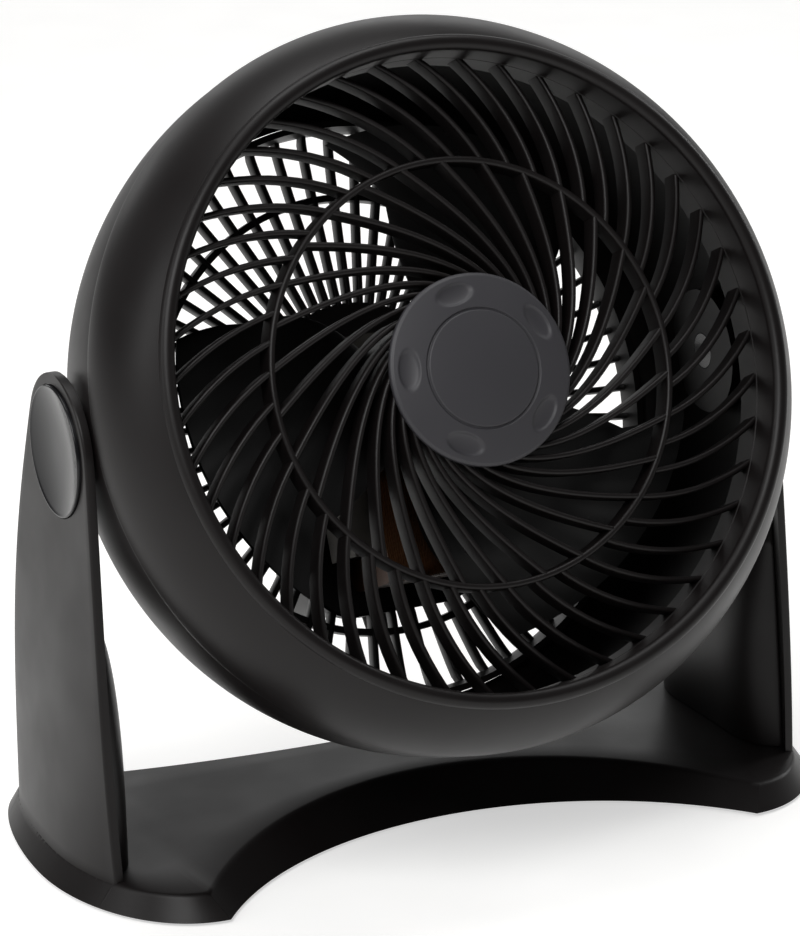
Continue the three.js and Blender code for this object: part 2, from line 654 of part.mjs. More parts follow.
const bearing = (facing) => {
  const middle = bearingMiddleZ(facing);
  const half = BEARING_LENGTH / 2;
  return ring(SHAFT_RADIUS + CLEARANCE, BEARING_RADIUS, middle - half, middle + half);
};

function motorBolt(side) {
  const headZ = STACK_FRONT_Z + BRACKET_SHEET + 2 * CLEARANCE;
  const outline = [
    [0, PLATE_REAR_Z + 0.5],
    [MOTOR_BOLT_RADIUS, PLATE_REAR_Z + 0.5],
    [MOTOR_BOLT_RADIUS, headZ],
    [2 * MOTOR_BOLT_RADIUS, headZ],
    [2 * MOTOR_BOLT_RADIUS, headZ + 2.2],
    [0, headZ + 2.2],
  ];
  return revolve(outline, 12).translate(side * MOTOR_BOLT_X, 0, 0);
}

function rotor() {
  const endRing = 2;
  return revolve([
    [SHAFT_RADIUS + CLEARANCE, STACK_REAR_Z - endRing],
    [ROTOR_RADIUS - 3, STACK_REAR_Z - endRing],
    [ROTOR_RADIUS - 3, STACK_REAR_Z],
    [ROTOR_RADIUS, STACK_REAR_Z],
    [ROTOR_RADIUS, STACK_FRONT_Z],
    [ROTOR_RADIUS - 3, STACK_FRONT_Z],
    [ROTOR_RADIUS - 3, STACK_FRONT_Z + endRing],
    [SHAFT_RADIUS + CLEARANCE, STACK_FRONT_Z + endRing],
  ], 24);
}

const motorShaft = () => disc(SHAFT_RADIUS, bearingMiddleZ(-1) - BEARING_LENGTH / 2 - 0.2, SHAFT_FRONT_Z);

// ---------------------------------------------------------------- impeller

function blade() {
  const spans = 5;
  const chords = 5;
  const sections = steps(spans + 1).map((s) => {
    const t = s / spans;
    const radius = lerp(HUB_RADIUS - 2, BLADE_TIP_RADIUS, t);
    const half = rad(BLADE_SPAN_DEG / 2) * (0.78 + 0.22 * Math.sin(Math.PI * Math.min(1, t + 0.35)));
    const lean = rad(BLADE_LEAN_DEG) * t * t;
    const rise = BLADE_RISE * (1 - 0.22 * t);
    const midZ = HUB_REAR_Z + HUB_LENGTH / 2 - 1;
    const row = steps(chords + 1).map((c) => {
      const u = (2 * c) / chords - 1;
      const angle = u * half + lean;
      const camber = BLADE_CAMBER * (1 - u * u);
      return { angle, z: midZ + (u * rise) / 2 + camber, thick: BLADE_THICKNESS * (1 - 0.45 * u * u) };
    });
    const at = ({ angle, z, thick }, side) =>
      p3(radius * Math.cos(angle), radius * Math.sin(angle), z + (side * thick) / 2);
    return [...row.map((r) => at(r, -1)), ...row.reverse().map((r) => at(r, 1))];
  });
  return loft(sections);
}

function impeller() {
  const bore = SHAFT_RADIUS + CLEARANCE;
  const cup = revolve([
    [HUB_RADIUS, HUB_REAR_Z],
    [HUB_RADIUS, HUB_FRONT_Z - HUB_CHAMFER],
    [HUB_RADIUS - HUB_CHAMFER, HUB_FRONT_Z],
    [bore, HUB_FRONT_Z],
    [bore, HUB_REAR_Z + 4],
    [bore + HUB_STEM_WALL, HUB_REAR_Z + 4],
    [bore + HUB_STEM_WALL, HUB_FRONT_Z - HUB_WALL],
    [HUB_RADIUS - HUB_WALL, HUB_FRONT_Z - HUB_WALL - HUB_CHAMFER],
    [HUB_RADIUS - HUB_WALL, HUB_REAR_Z],
  ], 24);
  const blades = steps(BLADES).map((i) => blade().rotateZ(rad(BLADE_PHASE_DEG + (360 / BLADES) * i)));
  const hollow = disc(HUB_RADIUS - HUB_WALL, HUB_REAR_Z - 8, HUB_FRONT_Z - HUB_WALL - 5, 24);
  const stem = ring(bore, bore + HUB_STEM_WALL, HUB_REAR_Z + 4, HUB_FRONT_Z - 1);
  return join(cut(join(cup, ...blades), hollow), stem);
}

const impellerNut = () =>
  revolve([
    [0, HUB_FRONT_Z + CLEARANCE + NUT_LENGTH + 2.5],
    [NUT_RADIUS - 1.5, HUB_FRONT_Z + CLEARANCE + NUT_LENGTH + 2],
    [NUT_RADIUS, HUB_FRONT_Z + CLEARANCE + NUT_LENGTH],
    [NUT_RADIUS, HUB_FRONT_Z + CLEARANCE],
    [SHAFT_RADIUS + CLEARANCE, HUB_FRONT_Z + CLEARANCE],
    [SHAFT_RADIUS + CLEARANCE, SHAFT_FRONT_Z + CLEARANCE],
    [0, SHAFT_FRONT_Z + CLEARANCE],
  ], 12);

// ---------------------------------------------------------------- speed control and inlet

function speedSwitch() {
  const rearZ = COVER_REAR_Z + COVER_WALL + CLEARANCE;
  const half = SWITCH_SIDE / 2;
  const body = block(-half, half, -half, half, rearZ, rearZ + SWITCH_DEPTH);
  return cut(body, disc(KNOB_STEM_RADIUS + CLEARANCE, rearZ - 1, rearZ + 8));
}

function speedKnob() {
  const faceZ = COVER_REAR_Z - CLEARANCE;
  const body = revolve([
    [0, faceZ - 5],
    [KNOB_RADIUS - 2, faceZ - 5],
    [KNOB_RADIUS, faceZ - 3.5],
    [KNOB_RADIUS + 1, faceZ],
    [KNOB_STEM_RADIUS, faceZ],
    [KNOB_STEM_RADIUS, faceZ + COVER_WALL + CLEARANCE + 6.5],
    [0, faceZ + COVER_WALL + CLEARANCE + 6.5],
  ], 24);
  const gripShape = new THREE.Shape().absellipse(0, 0, KNOB_RADIUS - 2.5, 4.5, 0, 2 * Math.PI);
  const grip = extrude(gripShape, faceZ - KNOB_HEIGHT, faceZ - 4, 7);
  return join(body, grip);
}

function cordGland() {
  const wallY = COVER_DROP;
  const outline = [
    [GLAND_BORE, wallY - COVER_WALL - 3],
    [GLAND_RADIUS, wallY - COVER_WALL - 3],
    [GLAND_RADIUS, wallY + CLEARANCE],
    [GLAND_FLANGE_RADIUS, wallY + CLEARANCE],
    [GLAND_FLANGE_RADIUS, wallY + CLEARANCE + 2],
    [GLAND_RADIUS, wallY + CLEARANCE + 2],
    [GLAND_BORE + 1.2, wallY - COVER_WALL - 3 + GLAND_LENGTH],
    [GLAND_BORE, wallY - COVER_WALL - 3 + GLAND_LENGTH],
  ];
  return revolve(outline, SMALL_STEPS).rotateX(Math.PI / 2).translate(0, 0, glandZ);
}

// ---------------------------------------------------------------- stand: base plate

// The plate's outline from the middle (p = 0) past the tip (p = TIP) to the side's belly (p = 1).
const TIP = 0.6;
const BELLY_Y = -2;
const RIM_COUNTS = 4; // steps along the rounded side, from a tip to the belly

function edgePoint(p, tip, middleY, belly, reach) {
  if (p <= TIP) {
    const x = (tip.x * p) / TIP;
    const sag = tip.y - middleY;
    const radius = (tip.x ** 2 + sag ** 2) / (2 * Math.abs(sag));
    return p2(x, middleY + Math.sign(sag) * (radius - Math.sqrt(radius ** 2 - x ** 2)));
  }
  const flank = new THREE.CubicBezierCurve(
    tip,
    p2(tip.x + reach.out, tip.y),
    p2(belly, belly * reach.rise),
    p2(belly, BELLY_Y)
  );
  return flank.getPoint((p - TIP) / (1 - TIP));
}

const floorRim = (p) => ({
  front: edgePoint(p, p2(FRONT_TIP_X, FRONT_TIP_Y), FRONT_ARC_Y, BASE_HALF_WIDTH, { out: 26, rise: -0.25 }),
  rear: edgePoint(p, p2(REAR_TIP_X, REAR_TIP_Y), REAR_ARC_Y, BASE_HALF_WIDTH, { out: 14, rise: 0.21 }),
});

// The rim leans in on its way up, most of all along the two hollow edges.
function topRim(p) {
  const belly = BASE_HALF_WIDTH - 0.8 * DRAFT;
  const hollow = 2 * DRAFT;
  const frontTip = p2(FRONT_TIP_X + 0.7 * DRAFT, FRONT_TIP_Y + DRAFT);
  const rearTip = p2(REAR_TIP_X, REAR_TIP_Y - DRAFT);
  return {
    front: edgePoint(p, frontTip, FRONT_ARC_Y + hollow, belly, { out: 18, rise: -0.245 }),
    rear: edgePoint(p, rearTip, REAR_ARC_Y - hollow, belly, { out: 12, rise: 0.22 }),
  };
}

const plateTop = (x) => BASE_LIFT + BASE_EDGE + BASE_CROWN * Math.max(0, 1 - (x / FRONT_TIP_X) ** 2);

function basePlate() {
  const counts = 10;
  const sections = [];
  for (let i = -counts; i <= counts; i += 1) {
    const p = Math.abs(i) / counts;
    const side = Math.sign(i) || 1;
    const low = floorRim(p);
    const high = topRim(p);
    const top = (point) => p3(side * point.x, point.y, plateTop(point.x));
    const floor = (point) => p3(side * point.x, point.y, BASE_LIFT);
    sections.push([floor(low.front), floor(low.rear), top(high.rear), top(high.front)]);
  }
  return loft(sections);
}

const footPlaces = () => [-1, 1].flatMap((side) => [
  [side * (FRONT_TIP_X + FRONT_FOOT_OUT), FRONT_TIP_Y + FOOT_INSET],
  [side * (REAR_TIP_X - REAR_FOOT_IN), REAR_TIP_Y - FOOT_INSET],
]);

const footPad = ([x, y]) =>
  revolve([
    [0, 0],
    [FOOT_RADIUS - 0.6, 0],
    [FOOT_RADIUS, 0.6],
    [FOOT_RADIUS, FOOT_HEIGHT],
    [0, FOOT_HEIGHT],
  ], 14).translate(x, y, 0);

// ---------------------------------------------------------------- stand: arms

const footZ = BASE_LIFT + BASE_EDGE;

// Where the ear's circle hands over to the arm's front and rear edges.
const EAR_FRONT = { y: -EAR_RADIUS * Math.cos(rad(6)), z: PIVOT_HEIGHT + EAR_RADIUS * Math.sin(rad(6)) };
const EAR_REAR = { y: EAR_RADIUS * Math.cos(rad(24)), z: PIVOT_HEIGHT + EAR_RADIUS * Math.sin(rad(24)) };

const earHalf = (z) => Math.sqrt(Math.max(0, EAR_RADIUS ** 2 - (z - PIVOT_HEIGHT) ** 2));

function armFrontY(z) {
  if (z > EAR_FRONT.z) return -earHalf(z);
  return lerp(ARM_FOOT_FRONT_Y, EAR_FRONT.y, Math.max(0, (z - footZ) / (EAR_FRONT.z - footZ)));
}

function armRearY(z) {
  if (z > EAR_REAR.z) return earHalf(z);
  return lerp(ARM_FOOT_REAR_Y, EAR_REAR.y, Math.max(0, (z - footZ) / (EAR_REAR.z - footZ)) ** 2.4);
}

// The plate's upper rim along the rounded side, front to rear, and how far out it lies at a y.
const flankRim = [
  ...steps(RIM_COUNTS + 1).map((i) => topRim(lerp(TIP, 1, i / RIM_COUNTS)).front),
  ...steps(RIM_COUNTS).map((i) => topRim(lerp(1, TIP, (i + 1) / RIM_COUNTS)).rear),
];

function flankX(y) {
  const next = flankRim.findIndex((point) => point.y > y);
  const from = flankRim[next - 1];
  const to = flankRim[next];
  return lerp(from.x, to.x, (y - from.y) / (to.y - from.y));
}

// The arm's face swells out towards the foot, where it runs into the plate's rounded side.
function armFaceX(y, z) {
  const low = THREE.MathUtils.clamp(1 - (z - footZ) / (PIVOT_HEIGHT - footZ), 0, 1) ** 1.5;
  return lerp(ARM_FACE_X, flankX(y), low);
}

const armHeights = () => [
  ...steps(8).map((i) => lerp(footZ - 4, PIVOT_HEIGHT - 6, i / 7)),
  ...steps(5).map((i) => PIVOT_HEIGHT + EAR_RADIUS * Math.sin(rad(10 + 18 * i))),
];

function armSkin(side, backing = 0) {
  const columns = 4;
  const sections = armHeights().map((z) => {
    const row = steps(columns + 1).map((c) => {
      const y = lerp(armFrontY(z), armRearY(z), c / columns);
      return { y, x: armFaceX(y, Math.max(z, footZ)) };
    });
    return [
      ...row.map(({ x, y }) => p3(side * x, y, z)),
      ...row.reverse().map(({ x, y }) => p3(side * (x - ARM_SKIN - backing), y, z)),
    ];
  });
  return loft(sections);
}

const atPivot = (geometry, side) => alongX(geometry, side).translate(0, 0, PIVOT_HEIGHT);

function standFrame() {
  const sides = [-1, 1];
  const arms = sides.map((side) => armSkin(side));
  const ears = sides.map((side) => atPivot(revolve([
    [0, EAR_HUB_X],
    [EAR_HUB_RADIUS, EAR_HUB_X],
    [EAR_HUB_RADIUS, ARM_INNER_X],
    [EAR_RADIUS, ARM_INNER_X],
    [EAR_RADIUS, EAR_FACE_X - 1],
    [EAR_RADIUS - 1, EAR_FACE_X],
    [0, EAR_FACE_X],
  ], 24), side));
  const recesses = sides.flatMap((side) => [
    atPivot(disc(PIN_HEAD_RADIUS + CLEARANCE, PIN_RIM_X - CLEARANCE, EAR_FACE_X + 8), side),
    atPivot(disc(PIN_SHOULDER_RADIUS + CLEARANCE, EAR_FLOOR_X, EAR_FACE_X + 8), side),
    atPivot(disc(PIN_RADIUS + CLEARANCE, EAR_HUB_X - 1, EAR_FACE_X + 1), side),
  ]);
  const footRecesses = footPlaces().map(([x, y]) =>
    disc(FOOT_RADIUS + CLEARANCE, 0, FOOT_HEIGHT + CLEARANCE, 14).translate(x, y, 0));
  return cut(join(basePlate(), ...arms, ...ears), ...recesses, ...footRecesses);
}

// A rounded fairing that thickens the lower inside of each arm, standing on the plate.
function armFairing(side) {
  const levels = 6;
  const columns = 6;
  const margin = 5;
  const sections = steps(levels + 1).map((i) => {
    const t = i / levels;
    const z = lerp(footZ + CLEARANCE, footZ + FAIRING_HEIGHT, t);
    const depth = 1 + FAIRING_DEPTH * Math.sqrt(Math.max(0, 1 - t ** 2.2));
    const row = steps(columns + 1).map((c) => {
      const u = (2 * c) / columns - 1;
      const y = lerp(armFrontY(z) + margin, armRearY(z) - margin, c / columns);
      const face = armFaceX(y, z) - ARM_SKIN;
      return { y, back: face + ARM_SKIN / 2, front: face - 1.5 - depth * (1 - u ** 4) };
    });
    return [
      ...row.map(({ y, back }) => p3(side * back, y, z)),
      ...row.reverse().map(({ y, front }) => p3(side * front, y, z)),
    ];
  });
  return cut(loft(sections), armSkin(side, CLEARANCE));
}

// ---------------------------------------------------------------- pivots

function pivotPin(side) {
  const dish = new THREE.QuadraticBezierCurve(
    p2(PIN_HEAD_RADIUS - PIN_LAND, PIN_FACE_X),
    p2(PIN_HEAD_RADIUS * 0.62, PIN_FACE_X - DISH_DEPTH),
    p2(0, PIN_FACE_X - DISH_DEPTH)
  );
  const outline = [
    ...dish.getPoints(3).reverse().map((p) => [p.x, p.y]),
    [PIN_HEAD_RADIUS, PIN_FACE_X],
    [PIN_HEAD_RADIUS, PIN_RIM_X],
    [PIN_SHOULDER_RADIUS, PIN_RIM_X],
    [PIN_SHOULDER_RADIUS, EAR_FLOOR_X + CLEARANCE],
    [PIN_RADIUS, EAR_FLOOR_X + CLEARANCE],
    [PIN_RADIUS, SEAT_ROOT_X],
    [0, SEAT_ROOT_X],
  ];
  return atPivot(revolve(outline, SMALL_STEPS), side);
}

const pivotWasher = (side) =>
  atPivot(ring(PIN_RADIUS + CLEARANCE, BOSS_RADIUS, WASHER_X, WASHER_X + WASHER_THICKNESS), side);

// ---------------------------------------------------------------- the fan

const satin = () => finish(SATIN_BLACK, 0.42);
const steel = () => finish(STEEL, 0.35, 1);

const stand = new THREE.Group();
stand.add(mesh("stand_frame", standFrame(), satin()));
for (const [side, word] of [[-1, "left"], [1, "right"]]) {
  stand.add(mesh(`arm_fairing_${word}`, armFairing(side), satin()));
  stand.add(mesh(`pivot_pin_${word}`, pivotPin(side), finish(SATIN_BLACK, 0.2)));
  stand.add(mesh(`pivot_washer_${word}`, pivotWasher(side), finish(RUBBER, 0.8)));
}
footPlaces().forEach((place, i) =>
  stand.add(mesh(`foot_pad_${i + 1}`, footPad(place), finish(RUBBER, 0.9))));

const head = new THREE.Group();
head.position.set(0, 0, PIVOT_HEIGHT);
head.rotation.x = rad(90 - TILT_DEG);
head.add(mesh("front_shroud", frontShroud(), satin()));
head.add(mesh("front_grille", frontGrille(), satin()));
head.add(mesh("hub_cap", hubCap(), finish(MATTE_SLATE, 0.7)));
head.add(mesh("rear_housing", rearHousing(), satin()));
head.add(mesh("rear_grille", rearGrille(), satin()));
head.add(mesh("motor_cover", motorCover(), satin()));
coverScrewPlaces().forEach((place, i) => head.add(mesh(`cover_screw_${i + 1}`, coverScrew(place), steel())));
head.add(mesh("stator_core", statorCore(), finish(LAMINATION, 0.6, 0.8)));
head.add(mesh("stator_coil", statorCoil(), finish(COIL_BROWN, 0.45)));
for (const [facing, word] of [[1, "front"], [-1, "rear"]]) {
  head.add(mesh(`${word}_bearing_bridge`, bearingBridge(facing), steel()));
  head.add(mesh(`${word}_bearing`, bearing(facing), finish(BRONZE, 0.4, 1)));
}
for (const [side, word] of [[-1, "left"], [1, "right"]]) {
  head.add(mesh(`motor_bolt_${word}`, motorBolt(side), steel()));
}
head.add(mesh("motor_shaft", motorShaft(), steel()));
head.add(mesh("rotor", rotor(), finish(STEEL, 0.5, 1)));
head.add(mesh("impeller", impeller(), finish(BLADE_BLACK, 0.35)));
head.add(mesh("impeller_nut", impellerNut(), finish(BLADE_BLACK, 0.5)));
head.add(mesh("speed_switch", speedSwitch(), finish(BLADE_BLACK, 0.6)));
head.add(mesh("speed_knob", speedKnob(), satin()));
head.add(mesh("cord_gland", cordGland(), finish(RUBBER, 0.7)));

const fan = new THREE.Group();
fan.add(stand, head);
const extent = new THREE.Box3().setFromObject(fan, true);
fan.position.y = -(extent.min.y + extent.max.y) / 2;

export default fan;
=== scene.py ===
"""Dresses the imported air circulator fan: smooth mouldings over its solids, finishes, lamps and camera.

Head pieces are drawn in millimetres in the head's own frame: x to the right, y up the head's face
and z forward along the fan axis, from the tilt axis. Stand pieces are drawn in millimetres too,
with the zero on the floor under the tilt axis.
"""

import json
import math

import bmesh
import bpy
from bpy.props import FloatProperty, FloatVectorProperty, IntProperty, PointerProperty
from mathutils import Matrix, Vector


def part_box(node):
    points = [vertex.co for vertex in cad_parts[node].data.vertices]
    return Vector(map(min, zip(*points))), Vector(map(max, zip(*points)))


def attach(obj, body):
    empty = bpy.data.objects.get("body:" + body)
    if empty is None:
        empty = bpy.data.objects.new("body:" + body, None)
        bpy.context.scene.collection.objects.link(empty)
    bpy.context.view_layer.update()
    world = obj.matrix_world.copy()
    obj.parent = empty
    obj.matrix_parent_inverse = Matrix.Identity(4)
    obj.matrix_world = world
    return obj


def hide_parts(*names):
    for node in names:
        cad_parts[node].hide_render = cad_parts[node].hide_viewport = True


bl_info = {
    "name": "Air circulator fan",
    "version": (1, 0, 0),
    "blender": (4, 5, 0),
    "location": "3D View > Sidebar > Fan",
    "description": "Dresses the packed air circulator fan, its stage and its camera",
    "category": "Object",
}

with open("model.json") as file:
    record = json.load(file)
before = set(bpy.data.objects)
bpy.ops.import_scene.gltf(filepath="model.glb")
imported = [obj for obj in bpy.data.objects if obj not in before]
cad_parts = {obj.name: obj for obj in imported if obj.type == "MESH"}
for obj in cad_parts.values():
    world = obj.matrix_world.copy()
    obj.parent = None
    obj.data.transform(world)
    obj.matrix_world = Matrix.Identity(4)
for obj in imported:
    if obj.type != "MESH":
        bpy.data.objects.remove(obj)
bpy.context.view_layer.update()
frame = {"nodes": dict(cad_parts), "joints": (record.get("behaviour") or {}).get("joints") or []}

MM = 0.001
JOINTS = {joint["name"]: joint for joint in frame["joints"]}
PIVOT = Vector(JOINTS["head_tilt"]["pos_m"])
FORWARD = Vector(JOINTS["impeller_spin"]["axis"]).normalized()
RIGHT = Vector((1.0, 0.0, 0.0))
UPWARD = FORWARD.cross(RIGHT)
FROM_MM = Matrix.Scale(MM, 4)
HEAD = Matrix.Translation(PIVOT) @ Matrix((RIGHT, UPWARD, FORWARD)).transposed().to_4x4() @ FROM_MM
STAND = Matrix.Translation((0, PIVOT.y, 0)) @ FROM_MM
PIVOT_HEIGHT = PIVOT.z / MM


def reach(node):
    """Smallest and largest radius about the fan axis and place along it of a head node, in mm."""
    back = HEAD.inverted()
    places = [back @ vertex.co for vertex in frame["nodes"][node].data.vertices]
    radii = [math.hypot(p.x, p.y) for p in places]
    alongs = [p.z for p in places]
    return {"inner": min(radii), "outer": max(radii), "rear": min(alongs), "front": max(alongs)}


def span(node):
    """Lowest and highest corner of a node, in mm."""
    low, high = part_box(node)
    return low / MM, high / MM


SHROUD = reach("front_shroud")
HOUSING = reach("rear_housing")
GRILLE = reach("front_grille")
CAP = reach("hub_cap")
BOWL = reach("rear_grille")
IMPELLER = reach("impeller")
KNOB = reach("speed_knob")
COVER = reach("motor_cover")

# ------------------------------------------------------------------ sizes, in mm

CLEARANCE = 0.3  # between pieces that meet or run in each other

LIP_ROUND = 2.7  # the shroud's rolled lip
LIP_RADIUS = SHROUD["inner"] + LIP_ROUND
LIP_Z = SHROUD["front"] - LIP_ROUND
DUCT_DEPTH = 24.0
DUCT_WALL = 2.0
PARTING_Z = SHROUD["rear"]
PARTING_RADIUS = 123.9
SKIN = 2.4  # wall of both shells
SPIGOT_DEPTH = 5.5
HOUSING_RADIUS = PARTING_RADIUS - 0.6
HOUSING_REAR_RADIUS = 104.0
HOUSING_REAR_Z = HOUSING["rear"]
HOUSING_SHOULDER = 15.0
HOUSING_WAIST = 20.0
HOUSING_BULGE = 1.2
BOSS_RADIUS = 12.0
SEAT_RADIUS = 19.5  # round seat in the housing's side, round the boss
SEAT_WALL = 2.0
SEAT_RIM = 121.4
SEAT_FLOOR = 119.0
SEAT_ROOT = 112.0

BAND_WALL = 1.6
GRILLE_CROWN_Z = GRILLE["front"]
GRILLE_DROP = 10.0
MIDDLE_RING_RADIUS = 70.6
MIDDLE_RING_WIDTH = 2.4
GRILLE_HUB_RADIUS = 29.5
SPOKE_DEPTH = 8.0
SPOKE_DRAFT = 0.8  # width of a spoke's rear edge as a share of its front

CAP_EDGE = 2.2
CAP_CROWN = 4.0
CAP_GROOVE_RADIUS = 19.7
CAP_GROOVE_HALF_WIDTH = 0.42
CAP_GROOVE_DEPTH = 0.75
DIMPLES = 5
DIMPLE_RADIUS = 25.8
DIMPLE_LENGTH = 14.0
DIMPLE_WIDTH = 7.5
DIMPLE_DEPTH = 1.25
DIMPLE_PHASE = math.radians(29)

PLATE_Z = -40.5
RIB_DEPTH = 5.6
REAR_RING_RADIUS = 76.0
REAR_RING_HALF_WIDTH = 1.2
REAR_BAND_WALL = 2.2
RIM_SLOPE = 1.22  # how steeply the rear grille's rim runs back towards the axis
MOTOR_POST_X = 23.0  # posts that hold the motor's bolts
MOTOR_POST_RADIUS = 3.7
MOTOR_POST_FRONT_Z = -33.0
COVER_RADIUS = 36.0
COVER_HALF_WIDTH = 29.0
COVER_DROP = 66.0
COVER_CORNER = 12.0
COVER_ROUND = 4.0

BLADES = 3
BLADE_SPAN = math.radians(86)
BLADE_LEAN = math.radians(16)
BLADE_PHASE = math.radians(58)
BLADE_WALL = 2.2
BLADE_RISE = 26.0
HUB_RADIUS = 25.0
HUB_REAR_Z = 6.0
HUB_LENGTH = 30.0
HUB_WALL = 2.5

DIAL_STEM_RADIUS = 4.5
DIAL_STEM_LENGTH = 9.0
DIAL_FLUTES = 40

ARM_FACE_X = 127.4
ARM_WALL = 3.2
ARM_FOOT_FRONT_Y = -39.0
ARM_FOOT_REAR_Y = 51.0
FAIRING_DEPTH = 15.0
FAIRING_MARGIN = 5.0
FAIRING_GAP = 0.2
EAR_RADIUS = 26.0
BASE_LIFT = 1.2
RIM_Z = 9.2
CROWN = 5.0
DRAFT = 7.0
FRONT_TIP = (98.0, -66.5)  # the base's tips on the floor
REAR_TIP = (117.0, 70.0)
FRONT_HOLLOW_Y = -19.0  # middles of its hollow front and rear edges
REAR_HOLLOW_Y = 46.0
TIP_SHARE = 0.6  # share of the outline that lies before the base's tips
BELLY_Y = -2.0
DISH_RADIUS = 22.1
DISH_DEPTH = 2.8
CAP_BARREL_RADIUS = 13.9
CAP_BARREL_LENGTH = 5.0
PIN_RADIUS = 6.0

# ------------------------------------------------------------------ colours


def linear(code):
    """Linear red, green, blue and alpha of an sRGB hex colour."""
    shares = [int(code[i : i + 2], 16) / 255 for i in (1, 3, 5)]
    return [c / 12.92 if c <= 0.04045 else ((c + 0.055) / 1.055) ** 2.4 for c in shares] + [1.0]


def colour_property(name, description, code):
    return FloatVectorProperty(
        name=name, description=description, subtype="COLOR", size=4, min=0, max=1, default=linear(code)
    )


class FinishSettings(bpy.types.PropertyGroup):
    """Colours of the fan's finishes."""

    shell: colour_property("Shell", "Satin moulded shell, grilles and stand", "#110e0e")
    cap: colour_property("Hub cap", "Fine-textured slate cap", "#2f2e32")
    blades: colour_property("Blades", "Impeller moulding", "#0b0a0a")
    pins: colour_property("Pivot caps", "Polished caps in the arms", "#141416")
    winding: colour_property("Winding", "Varnished copper winding", "#7a4a22")
    floor: colour_property("Floor", "Floor and backdrop", "#ffffff")


class GrilleSettings(bpy.types.PropertyGroup):
    """Counts and sweep of the two grilles."""

    outer: IntProperty(name="Outer spokes", description="Spokes outside the middle ring", default=45, min=3)
    inner: IntProperty(name="Inner spokes", description="Spokes inside the middle ring", default=30, min=3)
    outer_sweep: FloatProperty(
        name="Outer sweep", description="Turn of an outer spoke", default=math.radians(20), subtype="ANGLE"
    )
    inner_sweep: FloatProperty(
        name="Inner sweep", description="Turn of an inner spoke", default=math.radians(62.8), subtype="ANGLE"
    )
    inner_curl: FloatProperty(
        name="Inner curl", description="Above 0 an inner spoke turns more near the hub", default=1.0, min=0
    )
    phase: FloatProperty(
        name="Phase",
        description="Where a pair of spokes meets the ring",
        default=math.radians(4),
        subtype="ANGLE",
    )
    spoke: FloatProperty(
        name="Spoke width",
        description="Width of a front spoke",
        default=2.0 * MM,
        subtype="DISTANCE",
        unit="LENGTH",
    )
    ribs: IntProperty(name="Rear ribs", description="Ribs of the rear bowl", default=60, min=3)
    rib: FloatProperty(
        name="Rib width",
        description="Width of a rear rib",
        default=2.2 * MM,
        subtype="DISTANCE",
        unit="LENGTH",
    )


class StageSettings(bpy.types.PropertyGroup):
    """Camera and lamps."""

    azimuth: FloatProperty(
        name="Azimuth",
        description="Camera's turn round the fan",
        default=math.radians(-24.49),
        subtype="ANGLE",
    )
    elevation: FloatProperty(
        name="Elevation",
        description="Camera's angle above the floor",
        default=math.radians(18.43),
        subtype="ANGLE",
    )
    roll: FloatProperty(
        name="Roll", description="Camera's roll", default=math.radians(-1.02), subtype="ANGLE"
    )
    distance: FloatProperty(
        name="Distance", description="Camera's distance", default=1.554, subtype="DISTANCE", unit="LENGTH"
    )
    lens: FloatProperty(
        name="Lens", description="Focal length on a 36 mm sensor", default=176.3, unit="CAMERA"
    )
    target: FloatVectorProperty(
        name="Target",
        description="Point the camera looks at",
        default=(-0.0042, PIVOT.y, 0.1226),
        subtype="TRANSLATION",
    )
    ambient: FloatProperty(name="Ambient", description="Strength of the room's light", default=0.16, min=0)
    lamp_level: FloatProperty(name="Lamps", description="Share of the lamps' full power", default=1.0, min=0)


# ------------------------------------------------------------------ finishes


def add(tree, kind, values=None, links=None, **settings):
    """Adds a node with its settings, its sockets' values and the links into it."""
    made = tree.nodes.new(kind)
    for name, value in settings.items():
        setattr(made, name, value)
    for socket, value in (values or {}).items():
        made.inputs[socket].default_value = value
    for socket, source in (links or {}).items():
        tree.links.new(source, made.inputs[socket])
    return made


def start_finish(name, **shader_values):
    """A material with a cleared tree, its shader, its output and the object's coordinates."""
    material = bpy.data.materials.new(name)
    material.use_nodes = True
    tree = material.node_tree
    tree.nodes.clear()
    shader = add(tree, "ShaderNodeBsdfPrincipled")
    for socket, value in shader_values.items():
        shader.inputs[socket.replace("_", " ")].default_value = value
    add(tree, "ShaderNodeOutputMaterial", links={"Surface": shader.outputs["BSDF"]})
    place = add(tree, "ShaderNodeTexCoord").outputs["Object"]
    return material, tree, shader, place


def per_metre(size_mm):
    """Noise scale that gives features of this size."""
    return 1000.0 / size_mm


def moulded_surface(tree, shader, place, colour, drift, roughness, grain_mm, bump_mm):
    """Colour and gloss that drift over a few centimetres, and the mould's fine grain."""
    patches = add(
        tree,
        "ShaderNodeTexNoise",
        {"Scale": per_metre(38), "Detail": 3.0, "Roughness": 0.55},
        {"Vector": place},
    )
    lighter = [min(1.0, c * (1 + drift)) for c in colour[:3]] + [1.0]
    darker = [c * (1 - drift) for c in colour[:3]] + [1.0]
    tone = add(tree, "ShaderNodeMix", links={"Factor": patches.outputs["Fac"]}, data_type="RGBA")
    tone.inputs[6].default_value = darker
    tone.inputs[7].default_value = lighter
    tree.links.new(tone.outputs[2], shader.inputs["Base Color"])
    gloss = add(
        tree,
        "ShaderNodeMapRange",
        {"From Min": 0.3, "From Max": 0.7, "To Min": roughness[0], "To Max": roughness[1]},
        {"Value": patches.outputs["Fac"]},
    )
    tree.links.new(gloss.outputs["Result"], shader.inputs["Roughness"])
    grain = add(
        tree,
        "ShaderNodeTexNoise",
        {"Scale": per_metre(grain_mm), "Detail": 2.0, "Roughness": 0.5},
        {"Vector": place},
    )
    bump = add(
        tree,
        "ShaderNodeBump",
        {"Strength": 0.35, "Distance": bump_mm * MM},
        {"Height": grain.outputs["Fac"]},
    )
    tree.links.new(bump.outputs["Normal"], shader.inputs["Normal"])


